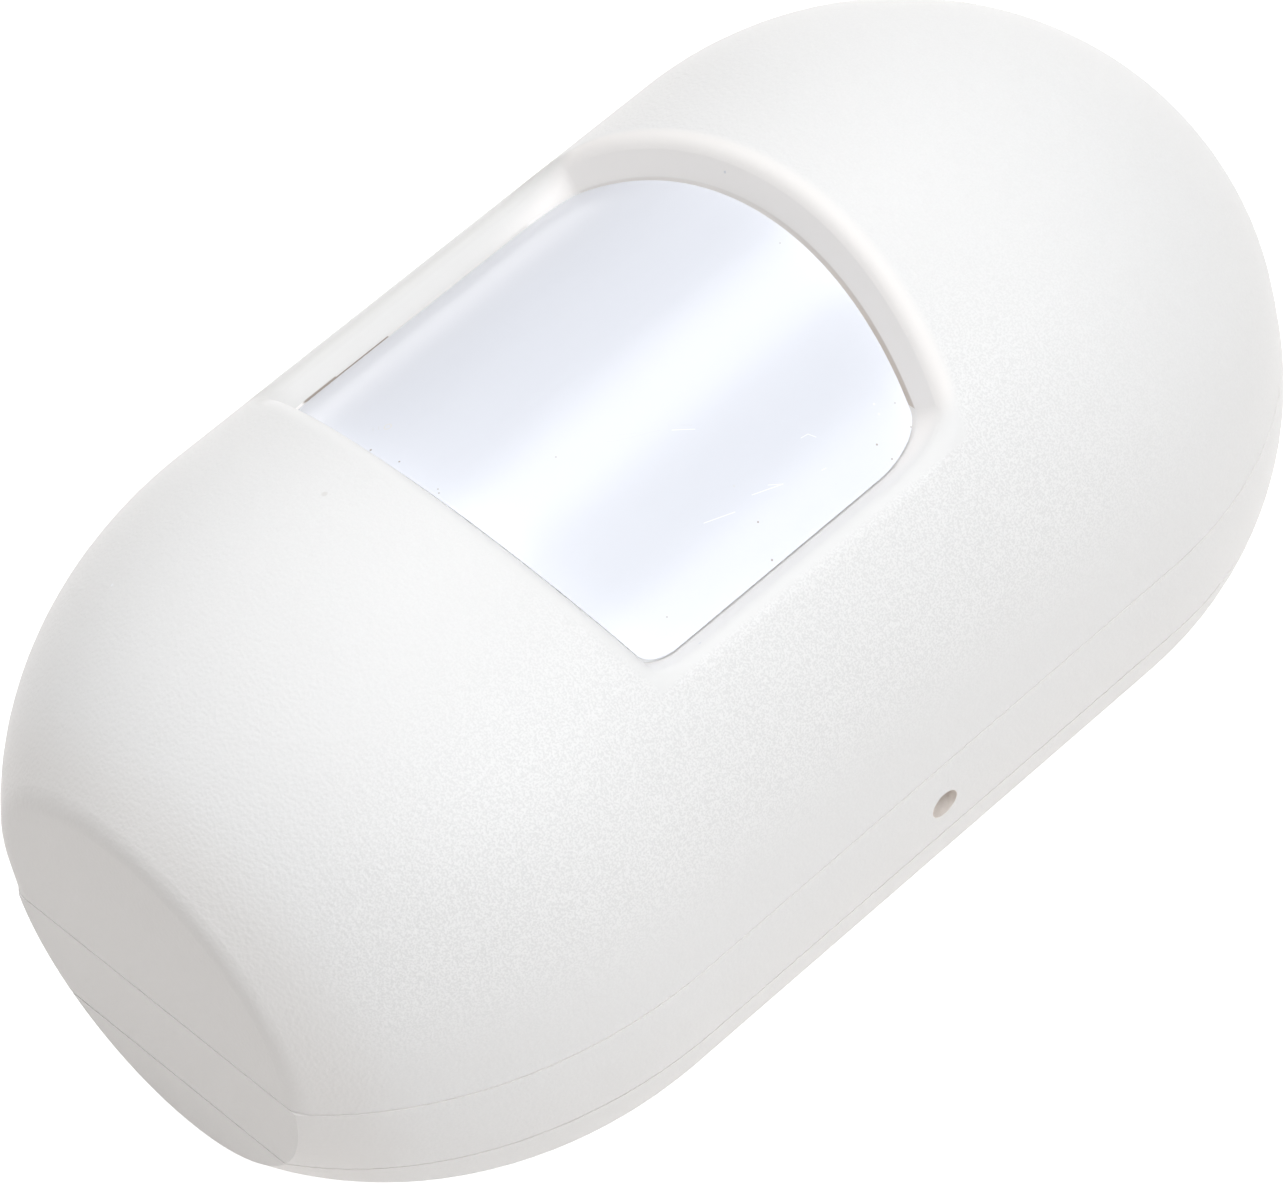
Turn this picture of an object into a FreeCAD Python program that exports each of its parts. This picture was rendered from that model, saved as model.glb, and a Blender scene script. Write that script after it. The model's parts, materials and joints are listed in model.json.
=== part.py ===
import FreeCAD, Part
import math
import os
import re
import Sketcher

# A wall-hung passive infrared motion sensor, lying on its back as in the photograph.
# X runs to the right as seen from the front, Y towards the top end, Z out of the wall.
# The origin is the centre of the flat back. All lengths are millimetres.

SIZES = {
    # Outer form
    "body_width": 60.0, "body_length": 107.8, "body_depth": 45.0,
    "bottom_reach": 33.5, "facet_cut": 4.6,
    "crown_radius": 35.7, "shoulder_radius": 25.0, "side_draft": 0.7,
    "seam_height": 16.3, "plate_height": 7.6, "back_inset": 5.56, "seam_gap": 0.15,
    "facet_lean": 2.7, "facet_foot": 2.3, "facet_fillet": 3.2,
    "cover_wall": 2.0, "housing_wall": 2.0, "plate_wall": 2.0,
    "tongue_wall": 1.2, "tongue_rise": 2.0, "tongue_clearance": 0.2,
    # Window and lens
    "lens_depth": 2.5, "lens_radius": 31.1, "lens_thickness": 0.8, "lens_flange": 1.5,
    "lens_gap": 0.3, "lens_step": 0.5, "lens_ring_width": 1.2,
    "window_side": 9.7, "window_top": 15.85, "window_bottom": 19.2,
    "side_flare": 60.0, "top_flare": 33.0, "bottom_flare": 16.7,
    "top_corner": 4.5, "bottom_corner": 2.6, "rim_wall": 2.2, "window_round": 1.5,
    "lens_clearance": 0.1, "retainer_thickness": 1.6, "retainer_width": 2.4,
    "groove_count": 4, "groove_depth": 0.3, "groove_width": 0.5,
    # Back housing
    "floor_thickness": 1.8, "side_hole_diameter": 2.5, "side_hole_y": -1.0, "side_hole_height": 11.9,
    "post_diameter": 5.0, "post_height": 3.7, "post_inset": 5.0, "post_top_y": 31.0,
    "post_bottom_y": -13.0, "board_screw_diameter": 2.2, "pin_diameter": 2.0, "pin_clearance": 0.15,
    # Mounting plate
    "plate_floor": 2.0, "wall_hole_diameter": 4.5, "wall_hole_spacing": 60.0,
    "wall_pad_diameter": 11.0, "wall_pad_height": 1.2,
    "plate_screw_diameter": 3.0, "plate_screw_x": 14.0, "plate_boss_diameter": 7.5,
    # Main board and sensor
    "board_side": 5.0, "board_length": 77.0, "board_y": -0.5, "board_thickness": 1.6,
    "board_corner": 8.0,
    "collar_diameter": 14.0, "collar_height": 1.6, "can_flange_diameter": 9.2,
    "can_flange_thickness": 0.5, "can_diameter": 8.2, "can_height": 4.0, "can_edge": 0.5,
    "filter_length": 5.2, "filter_width": 4.2, "filter_thickness": 0.4,
    "lead_diameter": 0.5, "lead_circle": 5.1, "lead_tail": 1.0, "lead_hole": 0.9,
    # Battery
    "battery_y": -29.0, "battery_diameter": 16.8, "battery_length": 33.5, "battery_edge": 0.8,
    "battery_nub_diameter": 6.5, "battery_nub_height": 1.0, "cradle_floor": 1.0,
    "cradle_wall": 1.5, "cradle_side_height": 6.0, "cradle_clearance": 0.3,
    "contact_thickness": 0.5, "contact_width": 9.0, "contact_height": 12.0,
    "contact_spring": 2.0, "contact_spring_diameter": 7.0,
    # Small parts on the board
    "led_x": 9.5, "led_y": 6.0, "led_diameter": 3.0, "led_flange_diameter": 3.8,
    "led_flange_height": 1.0, "led_height": 4.5,
    "controller_x": 10.5, "controller_y": 21.0, "controller_size": 7.0, "controller_height": 1.1,
    "controller_pins": 8, "pin_pitch": 0.8, "pin_width": 0.4, "pin_reach": 1.0, "pin_rise": 0.5,
    "crystal_x": 11.5, "crystal_y": 13.0, "crystal_length": 10.5, "crystal_width": 4.0,
    "crystal_height": 3.5,
    "capacitor_x": 14.5, "capacitor_y": -3.5, "capacitor_diameter": 6.3, "capacitor_height": 7.7,
    "capacitor_edge": 0.6, "capacitor_base": 1.0,
    "chip_length": 2.0, "chip_width": 1.25, "chip_height": 0.9, "chip_pitch": 3.2, "chip_count": 6,
    "chip_capacitor_x": -14.0, "chip_resistor_x": -18.5, "chip_row_y": -8.0,
    "radio_post_gap": 3.5, "radio_y": 24.0, "radio_width": 15.0, "radio_length": 20.0,
    "radio_thickness": 0.8, "shield_width": 12.0, "shield_length": 12.0, "shield_height": 2.2,
    "shield_wall": 0.3, "shield_edge": 0.5, "shield_shift": 3.0,
    "antenna_diameter": 1.0, "antenna_rise": 4.0, "antenna_bend": 2.0, "antenna_reach": 24.0,
    "antenna_inset": 1.5,
    "header_x": -13.5, "header_y": 11.6, "header_pitch": 2.54, "header_height": 2.5,
    "header_pin": 0.64, "header_pin_height": 6.0, "jumper_height": 5.0, "jumper_lift": 0.2,
    "screw_head_rim": 1.2, "screw_head_height": 1.7, "slot_width": 0.6, "slot_depth": 0.8,
    "board_screw_length": 3.0, "plate_screw_length": 6.0,
}

doc = FreeCAD.newDocument("motion_sensor")
sheet = doc.addObject("Spreadsheet::Sheet", "Sizes")
for row, (alias, number) in enumerate(SIZES.items(), start=1):
    sheet.set(f"A{row}", alias)
    sheet.set(f"B{row}", str(number))
    sheet.setAlias(f"B{row}", alias)
doc.recompute()


def size(alias):
    """Number that the sheet holds under an alias."""
    return float(sheet.get(alias))


def formula(text):
    """Formula in alias words, as an expression that names the sheet."""
    return re.sub(r"[a-z][a-z_]+", lambda word: linked(word.group(0)), str(text))


def linked(word):
    """Alias with the sheet's name before it; any other word stays as it is."""
    return f"Sizes.{word}" if word in SIZES else word


def bind(thing, links):
    """Bind properties of an object to formulas."""
    for path, text in links.items():
        thing.setExpression(path, formula(text))
    return thing


def place(thing, at):
    """Bind the base point of a placement to three formulas."""
    keys = ("Placement.Base.x", "Placement.Base.y", "Placement.Base.z")
    return bind(thing, dict(zip(keys, at)))


# Heights that several pieces share, as formulas

HOUSING_BASE = "plate_height + seam_gap"
FLOOR_TOP = f"{HOUSING_BASE} + floor_thickness"
BOARD_BASE = f"{FLOOR_TOP} + post_height"
BOARD_TOP = f"{BOARD_BASE} + board_thickness"
CAN_BASE = f"{BOARD_TOP} + collar_height"
BOARD_WIDTH = "body_width - 2 * (housing_wall + board_side)"


# Primitive helpers


def block(name, lengths, centre, base):
    """Box centred on a point in plan, standing on a height."""
    box = doc.addObject("Part::Box", name)
    bind(box, dict(zip(("Length", "Width", "Height"), lengths)))
    corner = [f"({middle}) - ({length}) / 2" for middle, length in zip(centre, lengths)]
    return place(box, corner + [base])


def rod(name, radius, height, at, turn=None):
    """Cylinder from a point, along Z or turned by an angle about an axis."""
    cylinder = doc.addObject("Part::Cylinder", name)
    if turn:
        axis, angle = turn
        cylinder.Placement = FreeCAD.Placement(FreeCAD.Vector(), FreeCAD.Rotation(axis, angle))
    bind(cylinder, {"Radius": radius, "Height": height})
    return place(cylinder, at)


def cut(name, base, *tools):
    """Base with the tools taken away."""
    result = doc.addObject("Part::Cut", name)
    result.Base = base
    result.Tool = tools[0] if len(tools) == 1 else fuse(name + "_tools", *tools)
    return result


def fuse(name, *shapes):
    """Several shapes as one solid."""
    result = doc.addObject("Part::MultiFuse", name)
    result.Shapes = list(shapes)
    result.Refine = True
    return result


def group(name, *shapes):
    """Separate solids kept together in one node."""
    result = doc.addObject("Part::Compound", name)
    result.Links = list(shapes)
    return result


def solid(name, shape):
    """Shape made in code, as an object of the document."""
    feature = doc.addObject("Part::Feature", name)
    feature.Shape = shape
    return feature


def rounded(name, base, radius, wanted):
    """Fillet of the edges of a base that a test picks."""
    doc.recompute()
    fillet = doc.addObject("Part::Fillet", name)
    fillet.Base = base
    edges = enumerate(base.Shape.Edges, start=1)
    fillet.Edges = [(number, radius, radius) for number, edge in edges if wanted(edge)]
    return fillet


# PartDesign helpers


def new_body(name, at):
    """Body whose own base centre sits at a place in the frame."""
    return place(doc.addObject("PartDesign::Body", name), at)


def new_sketch(body, name, level, centre=("0", "0")):
    """Sketch on the body's XY plane, lifted and shifted by formulas."""
    sketch = body.newObject("Sketcher::SketchObject", name)
    plane = next(item for item in body.Origin.OriginFeatures if item.Role == "XY_Plane")
    sketch.AttachmentSupport = [(plane, "")]
    sketch.MapMode = "FlatFace"
    keys = ("AttachmentOffset.Base.x", "AttachmentOffset.Base.y", "AttachmentOffset.Base.z")
    return bind(sketch, dict(zip(keys, (*centre, level))))


def rectangle(body, name, width, length, level="0", centre=("0", "0")):
    """Sketch of a rectangle about its own centre."""
    sketch = new_sketch(body, name, level, centre)
    corners = [FreeCAD.Vector(x, y, 0) for x, y in ((-1, -1), (1, -1), (1, 1), (-1, 1))]
    for start, end in zip(corners, corners[1:] + corners[:1]):
        sketch.addGeometry(Part.LineSegment(start, end), False)
    for side in range(4):
        sketch.addConstraint(Sketcher.Constraint("Coincident", side, 2, (side + 1) % 4, 1))
    for side, direction in enumerate(("Horizontal", "Vertical", "Horizontal", "Vertical")):
        sketch.addConstraint(Sketcher.Constraint(direction, side))
    sketch.addConstraint(Sketcher.Constraint("Symmetric", 0, 1, 2, 1, -1, 1))
    for label, side, kind in (("width", 0, "DistanceX"), ("length", 1, "DistanceY")):
        index = sketch.addConstraint(Sketcher.Constraint(kind, side, 1, side, 2, 2.0))
        sketch.renameConstraint(index, label)
    return bind(sketch, {"Constraints.width": width, "Constraints.length": length})


def circle(body, name, diameter, level="0", centre=("0", "0")):
    """Sketch of a circle about its own centre."""
    sketch = new_sketch(body, name, level, centre)
    sketch.addGeometry(Part.Circle(FreeCAD.Vector(), FreeCAD.Vector(0, 0, 1), 1.0), False)
    sketch.addConstraint(Sketcher.Constraint("Coincident", 0, 3, -1, 1))
    index = sketch.addConstraint(Sketcher.Constraint("Diameter", 0, 2.0))
    sketch.renameConstraint(index, "diameter")
    return bind(sketch, {"Constraints.diameter": diameter})


def pad(body, sketch, height):
    """Sketch raised into a solid."""
    feature = body.newObject("PartDesign::Pad", sketch.Name + "_pad")
    feature.Profile = sketch
    return bind(feature, {"Length": height})


def pocket(body, sketch, depth=None):
    """Sketch sunk into the solid below it, or through everything both ways."""
    feature = body.newObject("PartDesign::Pocket", sketch.Name + "_pocket")
    feature.Profile = sketch
    if depth is None:
        feature.Type = "ThroughAll"
        feature.Midplane = True
        return feature
    return bind(feature, {"Length": depth})


def edge_round(body, base, radius, wanted):
    """Fillet on the edges of a feature that a test picks."""
    doc.recompute()
    feature = body.newObject("PartDesign::Fillet", base.Name + "_round")
    edges = enumerate(base.Shape.Edges, start=1)
    feature.Base = (base, [f"Edge{number}" for number, edge in edges if wanted(edge)])
    return bind(feature, {"Radius": radius})


def is_round(edge):
    """True for a circular edge."""
    return isinstance(edge.Curve, Part.Circle)


def upright(edge):
    """True for a straight edge along Z."""
    return isinstance(edge.Curve, Part.Line) and abs(edge.Curve.Direction.z) > 0.99


def top_rim(height):
    """Test for edges that lie at a height."""
    return lambda edge: abs(edge.BoundBox.ZMin - height) < 0.01 and edge.BoundBox.ZLength < 0.01


# Outer form: a section drawn in the XZ plane, run straight and turned about both ends

HALF_WIDTH = size("body_width") / 2
TOP_CENTRE = size("body_length") / 2 - HALF_WIDTH
BOTTOM_CENTRE = size("bottom_reach") - size("facet_cut") - size("body_length") / 2
BOTTOM_STRETCH = size("bottom_reach") / HALF_WIDTH
WINDOW_HALF = HALF_WIDTH - size("window_side")
LENS_AXIS = size("body_depth") - size("lens_depth") - size("lens_radius")


def back_radius():
    """Radius of the arc that curves the back in, upright where it meets the seam."""
    rise, inset = size("seam_height"), size("back_inset")
    return (rise ** 2 + inset ** 2) / (2 * inset)


def cover_section(wall, base):
    """Half section of the domed cover, a wall inside its surface, from just under a base."""
    lean = math.radians(size("side_draft"))
    crown, shoulder = size("crown_radius"), size("shoulder_radius")
    crown_height = size("body_depth") - crown
    along = FreeCAD.Vector(-math.sin(lean), 0, math.cos(lean))
    inward = FreeCAD.Vector(-math.cos(lean), 0, -math.sin(lean))
    foot = FreeCAD.Vector(HALF_WIDTH, 0, size("seam_height"))
    offset = foot + inward * shoulder - FreeCAD.Vector(0, 0, crown_height)
    reach = offset.dot(along)
    slide = -reach + math.sqrt(reach ** 2 - offset.dot(offset) + (crown - shoulder) ** 2)
    centre = foot + along * slide + inward * shoulder
    from_crown = math.atan2(centre.z - crown_height, centre.x)
    crown_centre = FreeCAD.Vector(0, 0, crown_height)

    def on_circle(middle, radius, angle):
        return middle + FreeCAD.Vector(math.cos(angle), 0, math.sin(angle)) * (radius - wall)

    side_end = on_circle(centre, shoulder, lean)
    low = min(base, side_end.z - wall) - size("seam_gap")
    side_foot = side_end + along * ((low - side_end.z) / along.z)
    shoulder_end = on_circle(centre, shoulder, from_crown)
    apex = on_circle(crown_centre, crown, math.pi / 2)
    middle_shoulder = on_circle(centre, shoulder, (lean + from_crown) / 2)
    middle_crown = on_circle(crown_centre, crown, (from_crown + math.pi / 2) / 2)
    axis_foot = FreeCAD.Vector(0, 0, low)
    return Part.Wire([
        Part.LineSegment(axis_foot, side_foot).toShape(),
        Part.LineSegment(side_foot, side_end).toShape(),
        Part.Arc(side_end, middle_shoulder, shoulder_end).toShape(),
        Part.Arc(shoulder_end, middle_crown, apex).toShape(),
        Part.LineSegment(apex, axis_foot).toShape(),
    ])


def back_section(wall, low, high):
    """Half section of the back between two heights, a wall's thickness inside."""
    radius = back_radius()

    def on_arc(height):
        drop = size("seam_height") - height
        across = HALF_WIDTH - radius + math.sqrt((radius - wall) ** 2 - drop ** 2)
        return FreeCAD.Vector(across, 0, height)

    low_axis, high_axis = FreeCAD.Vector(0, 0, low), FreeCAD.Vector(0, 0, high)
    return Part.Wire([
        Part.LineSegment(low_axis, on_arc(low)).toShape(),
        Part.Arc(on_arc(low), on_arc((low + high) / 2), on_arc(high)).toShape(),
        Part.LineSegment(on_arc(high), high_axis).toShape(),
        Part.LineSegment(high_axis, low_axis).toShape(),
    ])


def run_round(section):
    """Section run along the straight sides and turned about the two end centres."""
    face = Part.Face(section)
    up = FreeCAD.Vector(0, 0, 1)
    origin = FreeCAD.Vector()
    middle_y = FreeCAD.Vector(0, TOP_CENTRE - BOTTOM_CENTRE, 0)
    half = face.translated(FreeCAD.Vector(0, BOTTOM_CENTRE, 0)).extrude(middle_y)
    other_half = half.mirror(origin, FreeCAD.Vector(1, 0, 0))
    top = face.revolve(origin, up, 180).translated(FreeCAD.Vector(0, TOP_CENTRE, 0))
    bottom = bottom_end(face.revolve(origin, up, -180))
    return half.multiFuse([other_half, top, bottom]).removeSplitter()


def bottom_end(turned):
    """Turned shape stretched to the oval of the bottom end and set in its place."""
    stretch = FreeCAD.Matrix()
    stretch.scale(1, BOTTOM_STRETCH, 1)
    return turned.transformGeometry(stretch).translated(FreeCAD.Vector(0, BOTTOM_CENTRE, 0))


def slab(low, high):
    """Everything between two heights."""
    far = 2 * size("body_length")
    return Part.makeBox(far, far, high - low, FreeCAD.Vector(-far / 2, -far / 2, low))


def facet_side(wall):
    """Everything beyond the leaning flat at the bottom end."""
    lean = math.radians(size("facet_lean"))
    far, high = size("body_length"), 2 * size("body_depth")
    foot = FreeCAD.Vector(-far, -size("body_length") / 2 + wall, size("facet_foot"))
    along = FreeCAD.Vector(0, math.sin(lean), math.cos(lean))
    out = FreeCAD.Vector(0, -far, 0)
    low, top = foot - along * high, foot + along * high
    outline = Part.makePolygon([low, top, top + out, low + out, low])
    return Part.Face(outline).extrude(FreeCAD.Vector(2 * far, 0, 0))


def outline_prism(inset, low, high):
    """Upright prism on the plan outline, a distance inside it, cut by the flat."""
    radius = HALF_WIDTH - inset
    start = FreeCAD.Vector(-radius, BOTTOM_CENTRE, low)
    middle = Part.makeBox(2 * radius, TOP_CENTRE - BOTTOM_CENTRE, high - low, start)
    end = Part.makeCylinder(radius, high - low, FreeCAD.Vector(0, 0, low))
    top = end.translated(FreeCAD.Vector(0, TOP_CENTRE, 0))
    prism = middle.multiFuse([top, bottom_end(end)]).removeSplitter()
    return prism.cut(facet_side(inset))


def window_prism(margin, low, high):
    """Flared block of the lens window, widened by a margin, between two heights."""
    lens_top = size("body_depth") - size("lens_depth")
    edge_height = LENS_AXIS + math.sqrt(size("lens_radius") ** 2 - WINDOW_HALF ** 2)
    side, top, bottom = (
        math.tan(math.radians(size(name))) for name in ("side_flare", "top_flare", "bottom_flare"))
    wires = []
    for height in (low, high):
        right = WINDOW_HALF + side * (height - edge_height) + margin
        upper = size("window_top") + top * (height - lens_top) + margin
        lower = -size("window_bottom") - bottom * (height - lens_top) - margin
        wires.append(rounded_outline(right, lower, upper, height))
    return Part.makeLoft(wires, True, True)


def rounded_outline(right, lower, upper, height):
    """Rectangle with its two radii of corner, level at a height."""
    bends = [
        (right, lower, size("bottom_corner"), -1, 1), (right, upper, size("top_corner"), -1, -1),
        (-right, upper, size("top_corner"), 1, -1), (-right, lower, size("bottom_corner"), 1, 1),
    ]
    edges = []
    slant = math.sqrt(0.5)
    ends = []
    for index, (x, y, radius, dx, dy) in enumerate(bends):
        centre = FreeCAD.Vector(x + dx * radius, y + dy * radius, height)
        flat = FreeCAD.Vector(x + dx * radius, y, height)
        side = FreeCAD.Vector(x, y + dy * radius, height)
        middle = centre - FreeCAD.Vector(dx, dy, 0) * (radius * slant)
        first, last = (flat, side) if index % 2 == 0 else (side, flat)
        ends.append((first, middle, last))
    for index, (first, middle, last) in enumerate(ends):
        edges.append(Part.Arc(first, middle, last).toShape())
        edges.append(Part.LineSegment(last, ends[(index + 1) % len(ends)][0]).toShape())
    return Part.Wire(edges)


def lens_tube(outside, inside):
    """Tube about the lens's long axis between two depths below the lens surface."""
    start = FreeCAD.Vector(0, -size("body_length"), LENS_AXIS)
    along, run = FreeCAD.Vector(0, 1, 0), 2 * size("body_length")
    outer = Part.makeCylinder(size("lens_radius") - outside, run, start, along)
    return outer.cut(Part.makeCylinder(size("lens_radius") - inside, run, start, along))


def window_floor():
    """Height below which the lens and its window do not reach."""
    widest = WINDOW_HALF + size("rim_wall")
    return LENS_AXIS + math.sqrt(size("lens_radius") ** 2 - widest ** 2)


def crest_edges(shell):
    """Edges where the window's flared walls meet the dome."""
    margin = size("cover_wall") / 4
    low, high = window_floor(), size("body_depth") + size("lens_depth")
    wide, narrow = window_prism(margin, low, high), window_prism(-margin, low - margin, high)

    def on_crest(point):
        above = math.hypot(point.x, point.z - LENS_AXIS) - size("lens_radius")
        return above > margin and wide.isInside(point, 0, True) and not narrow.isInside(point, 0, True)

    return [edge for edge in shell.Edges if all(on_crest(point) for point in samples(edge))]


def facet_edges(shell, base):
    """Edges round the leaning flat, all but the one at its foot."""
    slope = math.tan(math.radians(size("facet_lean")))
    near = size("seam_gap")

    def on_facet(point):
        flat_y = -size("body_length") / 2 + slope * (point.z - size("facet_foot"))
        return abs(point.y - flat_y) < near

    def raised(edge):
        return edge.BoundBox.ZMax > base + size("facet_fillet")

    return [edge for edge in shell.Edges
            if raised(edge) and all(on_facet(point) for point in samples(edge))]


def samples(edge):
    """Three points along an edge, clear of its ends."""
    start, end = edge.ParameterRange
    return [edge.valueAt(start + (end - start) * share) for share in (0.1, 0.5, 0.9)]


# Front cover


def make_front_cover():
    """Domed cover with its lens window, the rim round the window and the soft flat."""
    base = size("seam_height") + size("seam_gap")
    wall = size("cover_wall")
    above = slab(base, size("body_depth"))
    outer = run_round(cover_section(0, base)).common(above).cut(facet_side(0))
    outer = outer.makeFillet(size("facet_fillet"), facet_edges(outer, base))
    inner = run_round(cover_section(wall, base)).cut(facet_side(wall))
    shell = outer.cut(inner)
    low, high = window_floor(), size("body_depth") + size("lens_depth")
    rim = window_prism(size("rim_wall"), low, high).common(outer)
    rim = rim.cut(lens_tube(size("lens_step") - size("lens_clearance"), size("lens_radius") / 2))
    opening = window_prism(0, low - size("rim_wall"), high)
    shell = shell.fuse(rim).cut(opening).removeSplitter()
    return solid("front_cover", shell.makeFillet(size("window_round"), crest_edges(shell)))


# Lens and the frame that holds it from behind


def make_lens():
    """Curved panel in the window on a thin flange, grooved inside between its facets."""
    low, high = window_floor() - size("rim_wall"), size("body_depth")
    gap, step = size("lens_gap"), size("lens_step")
    panel = lens_tube(0, size("lens_thickness")).common(window_prism(-gap, low, high))
    ring = lens_tube(step, step + size("lens_thickness"))
    ring = ring.common(window_prism(size("lens_flange"), low, high))
    ring = ring.cut(window_prism(-gap - size("lens_ring_width"), low - size("rim_wall"), high))
    lens = panel.fuse(ring).removeSplitter()
    count = int(size("groove_count"))
    span = math.degrees(math.asin(WINDOW_HALF / size("lens_radius")))
    inner = size("lens_radius") - size("lens_thickness")
    groove = Part.makeBox(
        size("groove_width"), size("body_length"), 2 * size("groove_depth"),
        FreeCAD.Vector(-size("groove_width") / 2, -size("body_length") / 2, inner - size("groove_depth")))
    for index in range(count):
        angle = span * (2 * (index + 1) / (count + 1) - 1)
        tool = groove.rotated(FreeCAD.Vector(), FreeCAD.Vector(0, 1, 0), angle)
        lens = lens.cut(tool.translated(FreeCAD.Vector(0, 0, LENS_AXIS)))
    return solid("fresnel_lens", lens)


def make_retainer():
    """Frame pressed against the back of the lens round its edge."""
    low, high = window_floor() - size("rim_wall"), size("body_depth")
    near = size("lens_step") + size("lens_thickness")
    frame = lens_tube(near, near + size("retainer_thickness"))
    frame = frame.common(window_prism(size("lens_flange"), low, high))
    inside = size("lens_flange") - size("retainer_width")
    frame = frame.cut(window_prism(inside, low - size("rim_wall"), high))
    return solid("lens_retainer", frame)


# Back housing: the middle band of the case, with its floor, tongue and board posts

POST_X = f"({BOARD_WIDTH}) / 2 - post_inset"
POSTS = [
    (x, y) for x in (POST_X, f"-({POST_X})") for y in ("post_top_y", "post_bottom_y")]
RADIO_X = f"radio_width / 2 + radio_post_gap - ({POST_X})"
SCREWED = (POSTS[0], POSTS[3])
PINNED = (POSTS[1], POSTS[2])


def make_back_housing():
    """Housing that carries the board and takes the cover on its tongue."""
    base = size("plate_height") + size("seam_gap")
    floor_top = base + size("floor_thickness")
    seam = size("seam_height")
    wall = size("housing_wall")
    shell = run_round(back_section(0, base, seam)).cut(facet_side(0))
    shell = shell.cut(run_round(back_section(wall, floor_top, seam)).cut(facet_side(wall)))
    outside = size("cover_wall") + size("tongue_clearance")
    ring_low = seam - size("tongue_rise")
    ring_high = seam + size("tongue_rise")
    foot = outline_prism(wall / 2, ring_low, seam)
    ring = run_round(cover_section(outside, ring_low)).cut(facet_side(outside)).fuse(foot)
    inside = outside + size("tongue_wall")
    ring = ring.cut(run_round(cover_section(inside, ring_low)).cut(facet_side(inside)))
    ring = ring.common(slab(ring_low, ring_high))
    case = solid("housing_case", shell.fuse(ring).removeSplitter())
    solids = [case]
    holes = []
    for number, (x, y) in enumerate(POSTS, start=1):
        solids.append(rod(f"post_{number}", "post_diameter / 2", "post_height + floor_thickness / 2",
                          (x, y, f"{FLOOR_TOP} - floor_thickness / 2")))
    for number, (x, y) in enumerate(PINNED, start=1):
        solids.append(rod(f"post_pin_{number}", "pin_diameter / 2", "board_thickness + pin_clearance + 1",
                          (x, y, f"{BOARD_BASE} - 1")))
    for number, (x, y) in enumerate(SCREWED, start=1):
        holes.append(rod(f"post_hole_{number}", "board_screw_diameter / 2", "board_screw_length",
                         (x, y, f"{BOARD_TOP} - board_screw_length")))
    for number, x in enumerate(("plate_screw_x", "-plate_screw_x"), start=1):
        holes.append(rod(f"floor_hole_{number}", "plate_screw_diameter / 2 + pin_clearance",
                         "2 * floor_thickness", (x, "0", f"{HOUSING_BASE} - floor_thickness / 2")))
    holes.append(rod("side_hole", "side_hole_diameter / 2", "body_width / 4",
                     ("body_width * 3 / 8", "side_hole_y", "side_hole_height"),
                     (FreeCAD.Vector(0, 1, 0), 90)))
    return cut("back_housing", fuse("housing_with_posts", *solids), *holes)


# Mounting plate: the shallow tray that is screwed to the wall


def make_mounting_plate():
    """Tray with two wall holes and the bosses that take the housing's screws."""
    floor, top, wall = size("plate_floor"), size("plate_height"), size("plate_wall")
    shell = run_round(back_section(0, 0, top)).cut(facet_side(0))
    shell = shell.cut(run_round(back_section(wall, floor, top)).cut(facet_side(wall)))
    solids = [solid("plate_tray", shell)]
    holes = []
    for number, y in enumerate(("wall_hole_spacing / 2", "-wall_hole_spacing / 2"), start=1):
        solids.append(rod(f"wall_pad_{number}", "wall_pad_diameter / 2",
                          "plate_floor / 2 + wall_pad_height", ("0", y, "plate_floor / 2")))
        holes.append(rod(f"wall_hole_{number}", "wall_hole_diameter / 2",
                         "2 * (plate_floor + wall_pad_height)", ("0", y, "-plate_floor / 2")))
    for number, x in enumerate(("plate_screw_x", "-plate_screw_x"), start=1):
        solids.append(rod(f"plate_boss_{number}", "plate_boss_diameter / 2",
                          f"{HOUSING_BASE} - plate_floor / 2", (x, "0", "plate_floor / 2")))
        holes.append(rod(f"boss_hole_{number}", "plate_screw_diameter / 2", "plate_screw_length",
                         (x, "0", f"{FLOOR_TOP} - plate_screw_length")))
    return cut("mounting_plate", fuse("plate_with_bosses", *solids), *holes)


# Main board


def make_main_board():
    """Rounded board with holes for its screws, pins and the sensor's leads."""
    body = new_body("main_board", ("0", "board_y", BOARD_BASE))
    outline = rectangle(body, "board_outline", BOARD_WIDTH, "board_length")
    base = pad(body, outline, "board_thickness")
    edge_round(body, base, "board_corner", upright)
    drilled = [("screw", SCREWED, "board_screw_diameter + 2 * pin_clearance"),
               ("pin", PINNED, "pin_diameter + 2 * pin_clearance")]
    for kind, spots, diameter in drilled:
        for number, (x, y) in enumerate(spots, start=1):
            hole = circle(body, f"board_{kind}_{number}", diameter, centre=(x, f"{y} - board_y"))
            pocket(body, hole)
    for number, (x, y) in enumerate(LEADS, start=1):
        pocket(body, circle(body, f"board_lead_{number}", "lead_hole", centre=(x, f"{y} - board_y")))
    return body


LEADS = [("lead_circle / 2", "0"), ("-lead_circle / 2", "0"), ("0", "-lead_circle / 2")]


# Motion sensing element


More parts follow.
